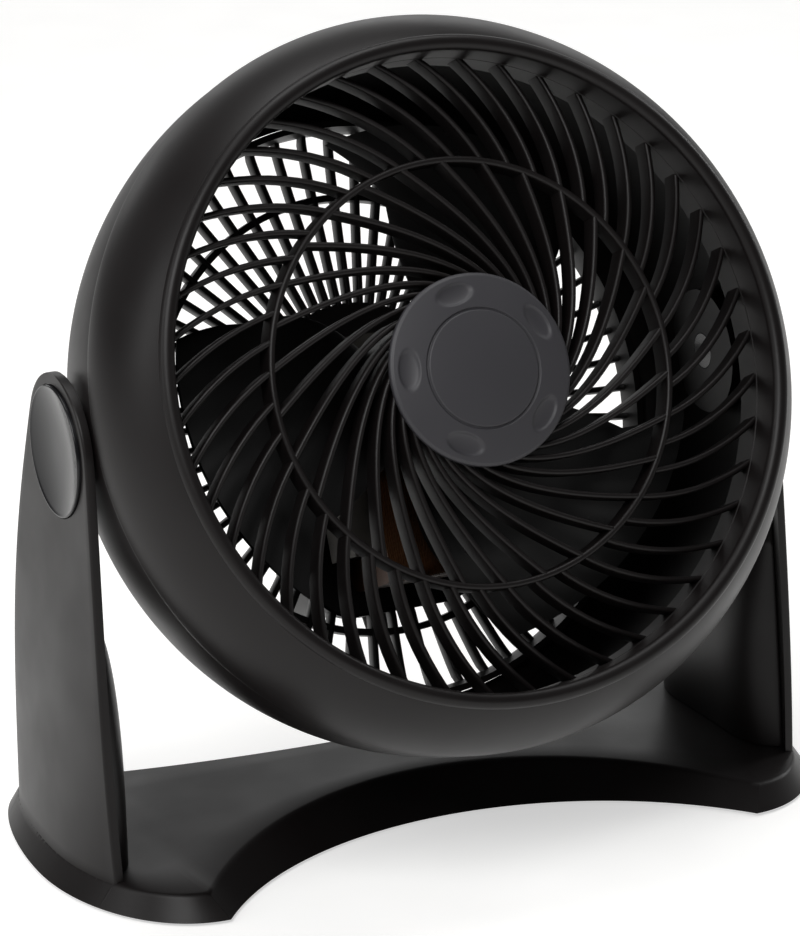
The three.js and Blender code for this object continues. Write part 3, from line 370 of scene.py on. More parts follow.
def satin_moulded_abs(colour):
    # ABS from a fine-blasted mould: near black, with wide soft highlights and a hint of warm brown.
    # Real grain is about 0.1 mm; it is drawn at 0.9 mm so that it still breaks up the highlights.
    # The specular level is under a plastic's usual 0.5, which greys this black against a white backdrop.
    material, tree, shader, place = start_finish("satin_moulded_abs", IOR=1.53, Specular_IOR_Level=0.22)
    moulded_surface(tree, shader, place, colour, 0.12, (0.36, 0.46), 0.9, 0.02)
    return material


def spark_eroded_abs(colour):
    # ABS from a spark-eroded mould: slate grey, dry, with a pebbled grain of about 0.7 mm.
    material, tree, shader, place = start_finish("spark_eroded_abs", IOR=1.53)
    moulded_surface(tree, shader, place, colour, 0.08, (0.5, 0.58), 0.7, 0.035)
    return material


def glossy_polypropylene(colour):
    # Polypropylene from a polished mould: jet black with flow lines that show in the gloss.
    material, tree, shader, place = start_finish("glossy_polypropylene", IOR=1.49)
    moulded_surface(tree, shader, place, colour, 0.15, (0.26, 0.36), 2.5, 0.012)
    return material


def polished_abs(colour):
    # ABS from a polished mould: sharp reflections, with a trace of handling marks. The specular level
    # is lowered as the satin shell's is.
    material, tree, shader, place = start_finish("polished_abs", IOR=1.53, Specular_IOR_Level=0.25)
    moulded_surface(tree, shader, place, colour, 0.06, (0.14, 0.22), 6.0, 0.01)
    return material


def moulded_rubber():
    # Carbon-black rubber: dull, with talc bloom in patches of a few millimetres.
    material, tree, shader, place = start_finish("moulded_rubber", IOR=1.52)
    moulded_surface(tree, shader, place, linear("#1c1b1a"), 0.25, (0.72, 0.88), 1.2, 0.05)
    return material


def zinc_plated_steel():
    # Bright zinc over mild steel: cool grey with a crystalline spangle a few millimetres across.
    material, tree, shader, place = start_finish("zinc_plated_steel", Metallic=1.0)
    spangle = add(tree, "ShaderNodeTexVoronoi", {"Scale": per_metre(3.0)}, {"Vector": place}, feature="F1")
    tone = add(tree, "ShaderNodeValToRGB", links={"Fac": spangle.outputs["Distance"]})
    tone.color_ramp.elements[0].color = linear("#8f9193")
    tone.color_ramp.elements[1].color = linear("#c3c4c2")
    tree.links.new(tone.outputs["Color"], shader.inputs["Base Color"])
    gloss = add(
        tree, "ShaderNodeMapRange", {"To Min": 0.28, "To Max": 0.42}, {"Value": spangle.outputs["Distance"]}
    )
    tree.links.new(gloss.outputs["Result"], shader.inputs["Roughness"])
    return material


def along_fan_axis(tree, place):
    """Distance along the fan axis, in metres, from the object's coordinates."""
    return add(
        tree, "ShaderNodeVectorMath", {1: tuple(FORWARD)}, {0: place}, operation="DOT_PRODUCT"
    ).outputs["Value"]


def laminated_electrical_steel():
    # Stamped silicon steel sheets, stacked: dark sawn-looking edges. Real sheets are 0.5 mm, drawn at 1 mm.
    material, tree, shader, place = start_finish("laminated_electrical_steel", Metallic=0.9)
    depth = along_fan_axis(tree, place)
    cycles = add(tree, "ShaderNodeMath", {1: per_metre(1.0)}, {0: depth}, operation="MULTIPLY")
    sheet = add(tree, "ShaderNodeMath", links={0: cycles.outputs[0]}, operation="FRACT")
    rust = add(tree, "ShaderNodeTexNoise", {"Scale": per_metre(9), "Detail": 4.0}, {"Vector": place})
    tone = add(tree, "ShaderNodeValToRGB", links={"Fac": rust.outputs["Fac"]})
    tone.color_ramp.elements[0].color = linear("#4b4742")
    tone.color_ramp.elements[1].color = linear("#6d6a66")
    tree.links.new(tone.outputs["Color"], shader.inputs["Base Color"])
    shader.inputs["Roughness"].default_value = 0.55
    bump = add(
        tree, "ShaderNodeBump", {"Strength": 0.7, "Distance": 0.15 * MM}, {"Height": sheet.outputs[0]}
    )
    tree.links.new(bump.outputs["Normal"], shader.inputs["Normal"])
    return material


def varnished_copper_winding(colour):
    # Enamelled copper wire, dipped in brown varnish: turns lie side by side. Real wire is 0.3 mm thick
    # and is drawn at 0.8 mm.
    material, tree, shader, place = start_finish("varnished_copper_winding", IOR=1.5, Metallic=0.25)
    turns = add(tree, "ShaderNodeSeparateXYZ", links={"Vector": place})
    cycles = add(
        tree,
        "ShaderNodeMath",
        {1: 2 * math.pi * per_metre(0.8)},
        {0: turns.outputs["X"]},
        operation="MULTIPLY",
    )
    wire = add(tree, "ShaderNodeMath", links={0: cycles.outputs[0]}, operation="SINE")
    varnish = add(tree, "ShaderNodeTexNoise", {"Scale": per_metre(7), "Detail": 3.0}, {"Vector": place})
    tone = add(tree, "ShaderNodeValToRGB", links={"Fac": varnish.outputs["Fac"]})
    tone.color_ramp.elements[0].color = [c * 0.5 for c in colour[:3]] + [1.0]
    tone.color_ramp.elements[1].color = colour
    tree.links.new(tone.outputs["Color"], shader.inputs["Base Color"])
    shader.inputs["Roughness"].default_value = 0.34
    bump = add(tree, "ShaderNodeBump", {"Strength": 0.8, "Distance": 0.2 * MM}, {"Height": wire.outputs[0]})
    tree.links.new(bump.outputs["Normal"], shader.inputs["Normal"])
    return material


def sintered_bronze():
    # Pressed and sintered bronze: warm and porous, damp with oil.
    material, tree, shader, place = start_finish("sintered_bronze", Metallic=1.0, Roughness=0.42)
    pores = add(tree, "ShaderNodeTexNoise", {"Scale": per_metre(0.8), "Detail": 3.0}, {"Vector": place})
    tone = add(tree, "ShaderNodeValToRGB", links={"Fac": pores.outputs["Fac"]})
    tone.color_ramp.elements[0].color = linear("#5c4326")
    tone.color_ramp.elements[1].color = linear("#a07c4a")
    tree.links.new(tone.outputs["Color"], shader.inputs["Base Color"])
    return material


def shell_finish():
    """The finish of the shell, the grilles and the stand, made once."""
    made = bpy.data.materials.get("satin_moulded_abs")
    return made or satin_moulded_abs(bpy.context.scene.fan_finish.shell)


# ------------------------------------------------------------------ making meshes


def skin(mesh, rows):
    """Faces from each row of points to the next. A row on the axis repeats one point."""
    for low, high in zip(rows, rows[1:]):
        for i in range(len(low)):
            j = (i + 1) % len(low)
            corners = list(dict.fromkeys((low[i], low[j], high[j], high[i])))
            if len(corners) > 2:
                mesh.faces.new(corners)


def lathe(mesh, outline, steps):
    """Turns an outline of (radius, z) round the z axis.

    The outline starts and ends on the axis, or closes on itself.
    """
    on_axis = 1e-6
    angles = [i * (2 * math.pi / steps) for i in range(steps)]
    rings = []
    for radius, z in outline:
        if radius < on_axis:
            rings.append([mesh.verts.new((0, 0, z))] * steps)
        else:
            rings.append([mesh.verts.new((radius * math.cos(a), radius * math.sin(a), z)) for a in angles])
    if outline[0][0] > on_axis or outline[-1][0] > on_axis:
        rings.append(rings[0])
    skin(mesh, rings)


def loft(mesh, sections):
    """Skins a row of closed rings that have as many points each, and caps both ends."""
    rows = [[mesh.verts.new(point) for point in section] for section in sections]
    skin(mesh, rows)
    mesh.faces.new(list(reversed(rows[0])))
    mesh.faces.new(rows[-1])


def curve_point(p0, p1, p2, p3, t):
    """Point at a share t of the way along a cubic curve."""
    s = 1 - t
    weights = (s**3, 3 * s * s * t, 3 * s * t * t, t**3)
    return tuple(sum(w * p[k] for w, p in zip(weights, (p0, p1, p2, p3))) for k in (0, 1))


def curve_points(p0, p1, p2, p3, count):
    """Points along a cubic curve, both ends included."""
    return [curve_point(p0, p1, p2, p3, i / count) for i in range(count + 1)]


def arc_points(centre, radius, start, end, count):
    """Points on an arc, from one angle in degrees to another."""
    angles = [math.radians(start + (end - start) * i / count) for i in range(count + 1)]
    return [(centre[0] + radius * math.cos(a), centre[1] + radius * math.sin(a)) for a in angles]


def softened(outline, radius):
    """Rounds the corners of a closed outline, each by no more than a third of its shorter side."""
    points = [Vector(p) for p in outline]
    rounded = []
    for i, corner in enumerate(points):
        before = points[i - 1] - corner
        after = points[(i + 1) % len(points)] - corner
        cut = min(radius, before.length / 3, after.length / 3)
        start = corner + before.normalized() * cut
        end = corner + after.normalized() * cut
        for t in (0, 1 / 3, 2 / 3, 1):
            rounded.append(tuple(start.lerp(corner, t).lerp(corner.lerp(end, t), t)))
    return rounded


def piece(name, mesh, place, body, material, nodes=(), sharp=40):
    """Finishes a mesh as an object in the row frame that rides on a body and stands for CAD nodes."""
    bmesh.ops.remove_doubles(mesh, verts=mesh.verts, dist=1e-4)
    bmesh.ops.recalc_face_normals(mesh, faces=mesh.faces)
    for face in mesh.faces:
        face.smooth = True
    for edge in mesh.edges:
        if len(edge.link_faces) == 2 and edge.calc_face_angle(0) > math.radians(sharp):
            edge.smooth = False
    mesh.transform(place)
    data = bpy.data.meshes.new(name)
    mesh.to_mesh(data)
    mesh.free()
    made = bpy.data.objects.new(name, data)
    bpy.context.scene.collection.objects.link(made)
    data.materials.append(material)
    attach(made, body)
    if nodes:
        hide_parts(*nodes)
    return made


def moulding(name, mesh, place, body, nodes=(), sharp=38):
    """A piece in the shell's own finish."""
    return piece(name, mesh, place, body, shell_finish(), nodes, sharp)


def along_x(mesh, outline, side, steps):
    """A lathed form round the tilt axis, on the left (-1) or right (1), in the stand's millimetres."""
    own = bmesh.new()
    lathe(own, outline, steps)
    turn = Matrix.Translation((0, 0, PIVOT_HEIGHT)) @ Matrix.Rotation(side * math.pi / 2, 4, "Y")
    own.transform(turn)
    copy_into(mesh, own)


def copy_into(mesh, own):
    """Adds one mesh to another and frees it."""
    held = bpy.data.meshes.new("held")
    own.to_mesh(held)
    own.free()
    mesh.from_mesh(held)
    bpy.data.meshes.remove(held)


def dress(node, material, bevel_mm):
    """Gives a CAD node that stays its finish and softly bevelled edges."""
    made = frame["nodes"][node]
    made.data.materials.clear()
    made.data.materials.append(material)
    bevel = made.modifiers.new("soft_edges", "BEVEL")
    bevel.width = bevel_mm * MM
    bevel.segments = 2
    bevel.angle_limit = math.radians(40)
    bevel.harden_normals = True


# ------------------------------------------------------------------ shells


def build_front_shroud():
    """The bell: rolled lip, long outer curve to the parting line, and the duct wall inside."""
    outer = curve_points(
        (PARTING_RADIUS, PARTING_Z),
        (PARTING_RADIUS + 0.7, PARTING_Z + 12),
        (LIP_RADIUS + 9.1, LIP_Z - 6.9),
        (LIP_RADIUS + LIP_ROUND, LIP_Z),
        40,
    )
    seat_radius = SHROUD["inner"] + BAND_WALL + CLEARANCE
    duct_outer = seat_radius + DUCT_WALL
    inner = curve_points(
        (duct_outer, LIP_Z - 3.2),
        (LIP_RADIUS + 7.4, LIP_Z - 8.9),
        (PARTING_RADIUS - SKIN + 0.4, PARTING_Z + 14),
        (PARTING_RADIUS - SKIN, PARTING_Z + SPIGOT_DEPTH + 1),
        20,
    )
    lip = arc_points((LIP_RADIUS, LIP_Z), LIP_ROUND, 12, 168, 13)
    seat_z = GRILLE_CROWN_Z - GRILLE_DROP + 1.3
    rear_z = LIP_Z - DUCT_DEPTH
    outline = [(PARTING_RADIUS - 0.5, PARTING_Z), (PARTING_RADIUS - 0.12, PARTING_Z + 0.15)]
    outline += outer[1:]
    outline += lip
    outline += [(SHROUD["inner"], LIP_Z), (SHROUD["inner"], seat_z), (seat_radius, seat_z)]
    outline += [(seat_radius, rear_z), (duct_outer, rear_z)]
    outline += inner
    outline += [(PARTING_RADIUS - SKIN, PARTING_Z)]
    mesh = bmesh.new()
    lathe(mesh, outline, 256)
    moulding("shroud_bell", mesh, HEAD, "head", ["front_shroud"], sharp=35)


def build_rear_housing():
    """The rear half of the shell with its round shoulder and spigot, and a seat and a boss on each side."""
    front_z = HOUSING["front"] - SPIGOT_DEPTH
    outside = curve_points(
        (HOUSING_REAR_RADIUS, HOUSING_REAR_Z),
        (HOUSING_REAR_RADIUS + HOUSING_SHOULDER, HOUSING_REAR_Z + HOUSING_SHOULDER - 1),
        (HOUSING_RADIUS + HOUSING_BULGE, PARTING_Z - HOUSING_WAIST),
        (HOUSING_RADIUS, front_z),
        32,
    )
    inside = [(r - SKIN, z) for r, z in outside[:-1]]
    spigot = PARTING_RADIUS - SKIN - CLEARANCE
    outline = outside + [(spigot, front_z), (spigot, front_z + SPIGOT_DEPTH)]
    outline += [(spigot - 2, front_z + SPIGOT_DEPTH), (spigot - 2, front_z - 6)]
    outline += list(reversed(inside))
    mesh = bmesh.new()
    lathe(mesh, outline, 256)
    made = moulding("housing_shell", mesh, HEAD, "head", ["rear_housing"], sharp=35)
    face = span("pivot_washer_right")[0].x - CLEARANCE
    soft = 0.4
    outer = SEAT_RADIUS + SEAT_WALL
    profile = [(PIN_RADIUS + CLEARANCE, SEAT_ROOT), (PIN_RADIUS + CLEARANCE, face)]
    profile += [(BOSS_RADIUS - soft, face), (BOSS_RADIUS, face - soft)]
    profile += [(BOSS_RADIUS, SEAT_FLOOR), (SEAT_RADIUS - 0.5, SEAT_FLOOR), (SEAT_RADIUS, SEAT_FLOOR + 0.5)]
    profile += [(SEAT_RADIUS, SEAT_RIM - soft), (SEAT_RADIUS + soft, SEAT_RIM)]
    profile += [(outer - soft, SEAT_RIM), (outer, SEAT_RIM - soft), (outer, SEAT_ROOT)]
    for side, word in ((-1, "left"), (1, "right")):
        turn = Matrix.Rotation(side * math.pi / 2, 4, "Y")
        hole = bmesh.new()
        lathe(hole, [(0, SEAT_ROOT), (SEAT_RADIUS, SEAT_ROOT), (SEAT_RADIUS, 130), (0, 130)], 96)
        bored(made, hole, HEAD @ turn, "seat_bore")
        seat = bmesh.new()
        lathe(seat, profile, 96)
        moulding(f"pivot_seat_{word}", seat, HEAD @ turn, "head", sharp=35)


# ------------------------------------------------------------------ front grille and cap


def grille_front(radius):
    """Place of the grille's front along the axis: a shallow dome that drops towards the band."""
    return GRILLE_CROWN_Z - GRILLE_DROP * (radius / SHROUD["inner"]) ** 3


def spoke_section(radius, angle, direction, front, width):
    """Ring of points across a spoke: half-round in front, straight sides with a little draft."""
    across = Vector((-direction.y, direction.x)).normalized()
    half = width / 2
    angles = [i * math.pi / 6 for i in range(7)]
    shape = [(half * math.cos(a), front - half + half * math.sin(a)) for a in angles]
    shape += [(-half * SPOKE_DRAFT, front - SPOKE_DEPTH), (half * SPOKE_DRAFT, front - SPOKE_DEPTH)]
    foot = Vector((radius * math.cos(angle), radius * math.sin(angle)))
    return [(foot.x + across.x * s, foot.y + across.y * s, z) for s, z in shape]


def sweep_spoke(mesh, start, end, end_angle, sweep, curl, width, steps):
    """One spoke from a start to an end radius, turning as it goes, by its curl more near the start."""

    def spot(t):
        radius = start + (end - start) * t
        return radius, end_angle - sweep * (1 - t) * (start / radius) ** curl

    def foot(t):
        radius, angle = spot(t)
        return Vector((radius * math.cos(angle), radius * math.sin(angle)))

    nudge = 0.01
    sections = []
    for i in range(steps + 1):
        t = i / steps
        radius, angle = spot(t)
        direction = foot(t + nudge) - foot(t - nudge)
        sections.append(spoke_section(radius, angle, direction, grille_front(radius), width))
    loft(mesh, sections)


def build_front_grille():
    """Inner and outer swirled spokes, the rounded middle ring, the outer band and the hub disc."""
    sizes = bpy.context.scene.fan_grille
    width = sizes.spoke / MM
    start = GRILLE_HUB_RADIUS - 1
    end = SHROUD["inner"] + BAND_WALL / 2
    mesh = bmesh.new()
    for i in range(sizes.inner):
        end_angle = sizes.phase + 2 * math.pi * i / sizes.inner
        sweep_spoke(
            mesh, start, MIDDLE_RING_RADIUS, end_angle, sizes.inner_sweep, sizes.inner_curl, width, 20
        )
    for i in range(sizes.outer):
        end_angle = sizes.phase + sizes.outer_sweep + 2 * math.pi * i / sizes.outer
        sweep_spoke(mesh, MIDDLE_RING_RADIUS, end, end_angle, sizes.outer_sweep, 0.0, width, 10)
    ring_front = grille_front(MIDDLE_RING_RADIUS) + 0.3
    half = MIDDLE_RING_WIDTH / 2
    ring = arc_points((MIDDLE_RING_RADIUS, ring_front - half), half, 0, 180, 8)
    ring += [(MIDDLE_RING_RADIUS - half, ring_front - SPOKE_DEPTH - 0.4)]
    ring += [(MIDDLE_RING_RADIUS + half, ring_front - SPOKE_DEPTH - 0.4)]
    lathe(mesh, ring, 192)
    inner = SHROUD["inner"]
    band_front = GRILLE_CROWN_Z - GRILLE_DROP + 1.0
    band = [(inner, band_front - 12), (inner + BAND_WALL, band_front - 12), (inner + BAND_WALL, band_front)]
    band += [(inner + 0.4, band_front), (inner, band_front - 0.4)]
    lathe(mesh, band, 256)
    disc_rear = GRILLE_CROWN_Z - SPOKE_DEPTH - 0.6
    disc = [(0, GRILLE_CROWN_Z), (GRILLE_HUB_RADIUS - 0.5, GRILLE_CROWN_Z)]
    disc += [(GRILLE_HUB_RADIUS, GRILLE_CROWN_Z - 0.5), (GRILLE_HUB_RADIUS, disc_rear), (0, disc_rear)]
    lathe(mesh, disc, 96)
    moulding("swirl_grille", mesh, HEAD, "head", ["front_grille"])


def build_hub_cap():
    """Domed cap with a ring groove and five thumb dimples pressed into its border."""
    radius = CAP["outer"]
    rear = CAP["rear"]
    edge_z = rear + CAP_EDGE
    dimples = [DIMPLE_PHASE + 2 * math.pi * k / DIMPLES for k in range(DIMPLES)]

    def height(r, angle):
        z = edge_z + CAP_CROWN * (1 - (r / radius) ** 2)
        z -= CAP_GROOVE_DEPTH * math.exp(-(((r - CAP_GROOVE_RADIUS) / CAP_GROOVE_HALF_WIDTH) ** 4))
        for centre in dimples:
            turn = (angle - centre + math.pi) % (2 * math.pi) - math.pi
            outward = (r * math.cos(turn) - DIMPLE_RADIUS) / (DIMPLE_WIDTH / 2)
            sideways = r * math.sin(turn) / (DIMPLE_LENGTH / 2)
            inside = 1 - outward**2 - sideways**2
            if inside > 0:
                z -= DIMPLE_DEPTH * math.sqrt(inside) * min(1.0, inside * 3)
        return z

    # The rings lie 1 mm apart inside the groove, 0.2 mm across it and 0.25 mm over the dimples.
    radii = [float(i) for i in range(1, 19)]
    radii += [18.6 + 0.2 * i for i in range(12)]
    radii += [21.0 + 0.25 * i for i in range(40)]
    radii += [radius - 0.9]
    steps = 240
    angles = [2 * math.pi * i / steps for i in range(steps)]
    mesh = bmesh.new()
    rows = [[mesh.verts.new((0, 0, height(0, 0)))] * steps]
    for r in radii:
        rows.append([mesh.verts.new((r * math.cos(a), r * math.sin(a), height(r, a))) for a in angles])
    brim = arc_points((radius - 1.0, edge_z - 1.0), 1.0, 75, 0, 5)
    brim += [(radius, rear + 0.5), (radius - 0.5, rear)]
    for r, z in brim:
        rows.append([mesh.verts.new((r * math.cos(a), r * math.sin(a), z)) for a in angles])
    rows.append([mesh.verts.new((0, 0, rear))] * steps)
    skin(mesh, rows)
    material = spark_eroded_abs(bpy.context.scene.fan_finish.cap)
    piece("dimpled_cap", mesh, HEAD, "head", material, ["hub_cap"], sharp=50)


# ------------------------------------------------------------------ rear grille and motor cover


def cover_outline(margin):
    """Round over the fan axis with a bay below, as points; grown by a margin."""
    steps = 14
    radius = COVER_RADIUS + margin
    half = COVER_HALF_WIDTH + margin
    bottom = -COVER_DROP - margin
    corner = COVER_CORNER + margin
    shoulder = math.degrees(math.asin(half / radius))
    points = arc_points((0, 0), radius, -90 + shoulder, 270 - shoulder, steps * 3)
    points += arc_points((-half + corner, bottom + corner), corner, 180, 270, steps)
    points += arc_points((half - corner, bottom + corner), corner, 270, 360, steps)
    return points


def outline_reach(outline, angle):
    """How far an outline lies from the fan axis in a direction."""
    ray = Vector((math.cos(angle), math.sin(angle)))
    farthest = 0.0
    for i, start in enumerate(outline):
        first = Vector(start)
        second = Vector(outline[(i + 1) % len(outline)])
        side_first = ray.x * first.y - ray.y * first.x
        side_second = ray.x * second.y - ray.y * second.x
        if side_first <= 0 < side_second:
            share = side_first / (side_first - side_second)
            farthest = max(farthest, first.lerp(second, share).dot(ray))
    return farthest


def rib_section(half):
    """Points across a rear rib, as (sideways, depth), round at its front and rear."""
    rounding = half * 0.8
    front = [math.pi * i / 4 for i in range(5)]
    rear = [math.pi * (1 + i / 4) for i in range(5)]
    points = [(half * math.cos(a), rounding * math.sin(a) - rounding) for a in front]
    return points + [(half * math.cos(a), -RIB_DEPTH + rounding + rounding * math.sin(a)) for a in rear]


def build_rear_grille():
    """Bowl of round-edged ribs from the motor plate out to the rear band, with one ring."""
    sizes = bpy.context.scene.fan_grille
    rib = rib_section(sizes.rib / MM / 2)
    outer = BOWL["outer"]
    band_inner = outer - REAR_BAND_WALL
    mesh = bmesh.new()
    plate = cover_outline(3)
    path = curve_points(
        (0.0, PLATE_Z),
        (outer - 10, PLATE_Z),
        (outer - 5, PLATE_Z + 1),
        (band_inner + 0.9, HOUSING_REAR_Z - 1),
        48,
    )
    for k in range(sizes.ribs):
        angle = 2 * math.pi * (k + 0.5) / sizes.ribs
        start = outline_reach(plate, angle) - 1
        way = [(start, PLATE_Z)] + [p for p in path if p[0] > start + 2][::2] + [path[-1]]
        outward = Vector((math.cos(angle), math.sin(angle)))
        across = Vector((-outward.y, outward.x))
        sections = []
        for i, (radius, front) in enumerate(way):
            before = Vector(way[max(0, i - 1)])
            after = Vector(way[min(len(way) - 1, i + 1)])
            rear_way = Vector((after.y - before.y, before.x - after.x)).normalized() * RIB_DEPTH
            section = []
            for s, depth in rib:
                share = -depth / RIB_DEPTH
                r = min(radius + rear_way.x * share, outer - 0.7)
                z = max(front + rear_way.y * share, HOUSING_REAR_Z - 3 - (outer - r) * RIM_SLOPE)
                section.append((outward.x * r + across.x * s, outward.y * r + across.y * s, z))
            sections.append(section)
        loft(mesh, sections)
    rear = PLATE_Z - RIB_DEPTH
    ring_inner = REAR_RING_RADIUS - REAR_RING_HALF_WIDTH
    ring_outer = REAR_RING_RADIUS + REAR_RING_HALF_WIDTH
    ring = [(ring_inner, rear), (ring_outer, rear), (ring_outer, PLATE_Z), (ring_inner, PLATE_Z)]
    lathe(mesh, softened(ring, 0.5), 192)
    band = [
        (band_inner, HOUSING_REAR_Z + 3.5),
        (outer, HOUSING_REAR_Z + 3.5),
        (outer, HOUSING_REAR_Z - 3),
        (band_inner - 1, HOUSING_REAR_Z - 3 - 3.2 * RIM_SLOPE),
        (band_inner - 1, HOUSING_REAR_Z - 1.3),
    ]
    lathe(mesh, band, 256)
    levels = [(rear, 2.2), (rear + 0.8, 3.0), (PLATE_Z - 0.8, 3.0), (PLATE_Z, 2.2)]
    loft(mesh, [[(x, y, z) for x, y in cover_outline(margin)] for z, margin in levels])
    for side in (-1, 1):
        own = bmesh.new()
        post = [(0, PLATE_Z - 1), (MOTOR_POST_RADIUS, PLATE_Z - 1)]
        post += [(MOTOR_POST_RADIUS, MOTOR_POST_FRONT_Z), (0, MOTOR_POST_FRONT_Z)]
        lathe(own, post, 32)
        own.transform(Matrix.Translation((side * MOTOR_POST_X, 0, 0)))
        copy_into(mesh, own)
    moulding("rear_bowl_grille", mesh, HEAD, "head", ["rear_grille"])


def build_motor_cover():
    """Housing behind the motor plate with a rounded rear edge, and the finishes of its screws and gland."""
    round_start = COVER["rear"] + COVER_ROUND
    levels = [(COVER["front"], 0.0)]
    for i in range(7):
        swing = math.radians(15 * i)
        margin = -COVER_ROUND + COVER_ROUND * math.cos(swing)
        levels.append((round_start - COVER_ROUND * math.sin(swing), margin))
    mesh = bmesh.new()
    loft(mesh, [[(x, y, z) for x, y in cover_outline(margin)] for z, margin in levels])
    moulding("motor_cover_shell", mesh, HEAD, "head", ["motor_cover"])
    steel = zinc_plated_steel()
    for number in (1, 2, 3):
        dress(f"cover_screw_{number}", steel, 0.25)
    dress("cord_gland", moulded_rubber(), 0.3)


# ------------------------------------------------------------------ motor and impeller


def build_motor():
    """Finishes of the motor's parts, its winding and the switch."""
    steel = bpy.data.materials["zinc_plated_steel"]
    for node in ("front_bearing_bridge", "rear_bearing_bridge", "motor_bolt_left", "motor_bolt_right"):
        dress(node, steel, 0.3)
    dress("motor_shaft", steel, 0.2)
    dress("stator_core", laminated_electrical_steel(), 0.2)
    dress("rotor", bpy.data.materials["laminated_electrical_steel"], 0.3)
    bronze = sintered_bronze()
    dress("front_bearing", bronze, 0.3)
    dress("rear_bearing", bronze, 0.3)
    dress("stator_coil", varnished_copper_winding(bpy.context.scene.fan_finish.winding), 1.5)
    dress("speed_switch", polished_abs(bpy.context.scene.fan_finish.pins), 0.4)


def blade_sections(spans, chords):
    """Closed rings of points across one blade, from root to tip. It is narrower at the root."""
    tip = IMPELLER["outer"]
    sections = []
    for s in range(spans + 1):
        t = s / spans
        radius = (HUB_RADIUS - 2) + (tip - HUB_RADIUS + 2) * t
        half = BLADE_SPAN / 2 * (0.78 + 0.22 * math.sin(math.pi * min(1, t + 0.35)))
        lean = BLADE_LEAN * t * t
        rise = BLADE_RISE * (1 - 0.22 * t)
        middle = HUB_REAR_Z + HUB_LENGTH / 2 - 1
        front = []
        rear = []
        for c in range(chords + 1):
            u = -math.cos(math.pi * c / chords)
            angle = u * half + lean
            z = middle + u * rise / 2 + 2.5 * (1 - u * u)
            wall = BLADE_WALL * math.sqrt(max(0.0, 1 - u**4)) * (1 - 0.3 * u * u) + 0.1
            rear.append((radius * math.cos(angle), radius * math.sin(angle), z - wall / 2))
            front.append((radius * math.cos(angle), radius * math.sin(angle), z + wall / 2))
        sections.append(rear + list(reversed(front)))
    return sections


def build_impeller():
    """Three wide blades on a cup-shaped hub."""
    mesh = bmesh.new()
    for k in range(BLADES):
        own = bmesh.new()
        loft(own, blade_sections(20, 22))
        own.transform(Matrix.Rotation(BLADE_PHASE + 2 * math.pi * k / BLADES, 4, "Z"))
        copy_into(mesh, own)
    front = HUB_REAR_Z + HUB_LENGTH
    bore = 3.3
    sleeve = 6.8
    inside = HUB_RADIUS - HUB_WALL
    outline = [(bore, front), (bore, HUB_REAR_Z + 4), (sleeve, HUB_REAR_Z + 4), (sleeve, front - HUB_WALL)]
    outline += [(inside, front - HUB_WALL - 4), (inside, HUB_REAR_Z), (HUB_RADIUS, HUB_REAR_Z)]
    outline += arc_points((HUB_RADIUS - 4, front - 4), 4, 0, 90, 6)
    lathe(mesh, outline, 128)
    material = glossy_polypropylene(bpy.context.scene.fan_finish.blades)
    piece("impeller_moulding", mesh, HEAD, "spinner", material, ["impeller"])
    dress("impeller_nut", material, 0.6)


# ------------------------------------------------------------------ speed knob


def build_speed_knob():
    """Round knob with a finger bar and fine grip flutes."""
    face = COVER["rear"] - CLEARANCE
    radius = KNOB["outer"] - 1
    steps = 240
    mesh = bmesh.new()
    outline = [(0, face - 5), (radius - 3, face - 5), (radius - 1, face - 4.6), (radius, face - 3.6)]
    outline += [(radius + 0.9, face - 0.6), (radius + 0.6, face), (DIAL_STEM_RADIUS, face)]
    outline += [(DIAL_STEM_RADIUS, face + DIAL_STEM_LENGTH), (0, face + DIAL_STEM_LENGTH)]
    lathe(mesh, outline, steps)
    for vertex in mesh.verts:
        r = math.hypot(vertex.co.x, vertex.co.y)
        if r > radius - 0.5 and vertex.co.z < face - 0.3:
            angle = math.atan2(vertex.co.y, vertex.co.x)
            sunk = 0.25 * (1 - math.cos(angle * DIAL_FLUTES))
            vertex.co.x *= (r - sunk) / r
            vertex.co.y *= (r - sunk) / r
    length = radius - 3
    sections = []
    for z, grow in ((face - 4.5, 0.6), (face - 13.5, 0.0), (face - 14.6, -0.5), (face - 15, -1.3)):
        ring = []
        for i in range(64):
            angle = 2 * math.pi * i / 64
            ring.append(((length + grow) * math.cos(angle), (4.2 + grow) * math.sin(angle), z))
        sections.append(ring)
    loft(mesh, sections)
    moulding("speed_dial", mesh, HEAD, "knob", ["speed_knob"], sharp=45)


# ------------------------------------------------------------------ stand


def edge_point(p, tip, middle_y, belly, out, rise):
    """Point of the base's outline: the hollow edge up to the tip, then the flank to the belly."""
    if p <= TIP_SHARE:
        x = tip[0] * p / TIP_SHARE
        sag = tip[1] - middle_y
        radius = (tip[0] ** 2 + sag**2) / (2 * abs(sag))
        return (x, middle_y + math.copysign(radius - math.sqrt(radius**2 - x**2), sag))
    t = round((p - TIP_SHARE) / (1 - TIP_SHARE), 3)
    return curve_point(tip, (tip[0] + out, tip[1]), (belly, belly * rise), (belly, BELLY_Y), t)


HALF_WIDTH = (span("stand_frame")[1].x - span("stand_frame")[0].x) / 2


def floor_rim(p):
    """Front and rear points of the base's outline on the floor, at a share of the way to its belly."""
    front = edge_point(p, FRONT_TIP, FRONT_HOLLOW_Y, HALF_WIDTH, 26, -0.25)
    rear = edge_point(p, REAR_TIP, REAR_HOLLOW_Y, HALF_WIDTH, 14, 0.21)
    return front, rear


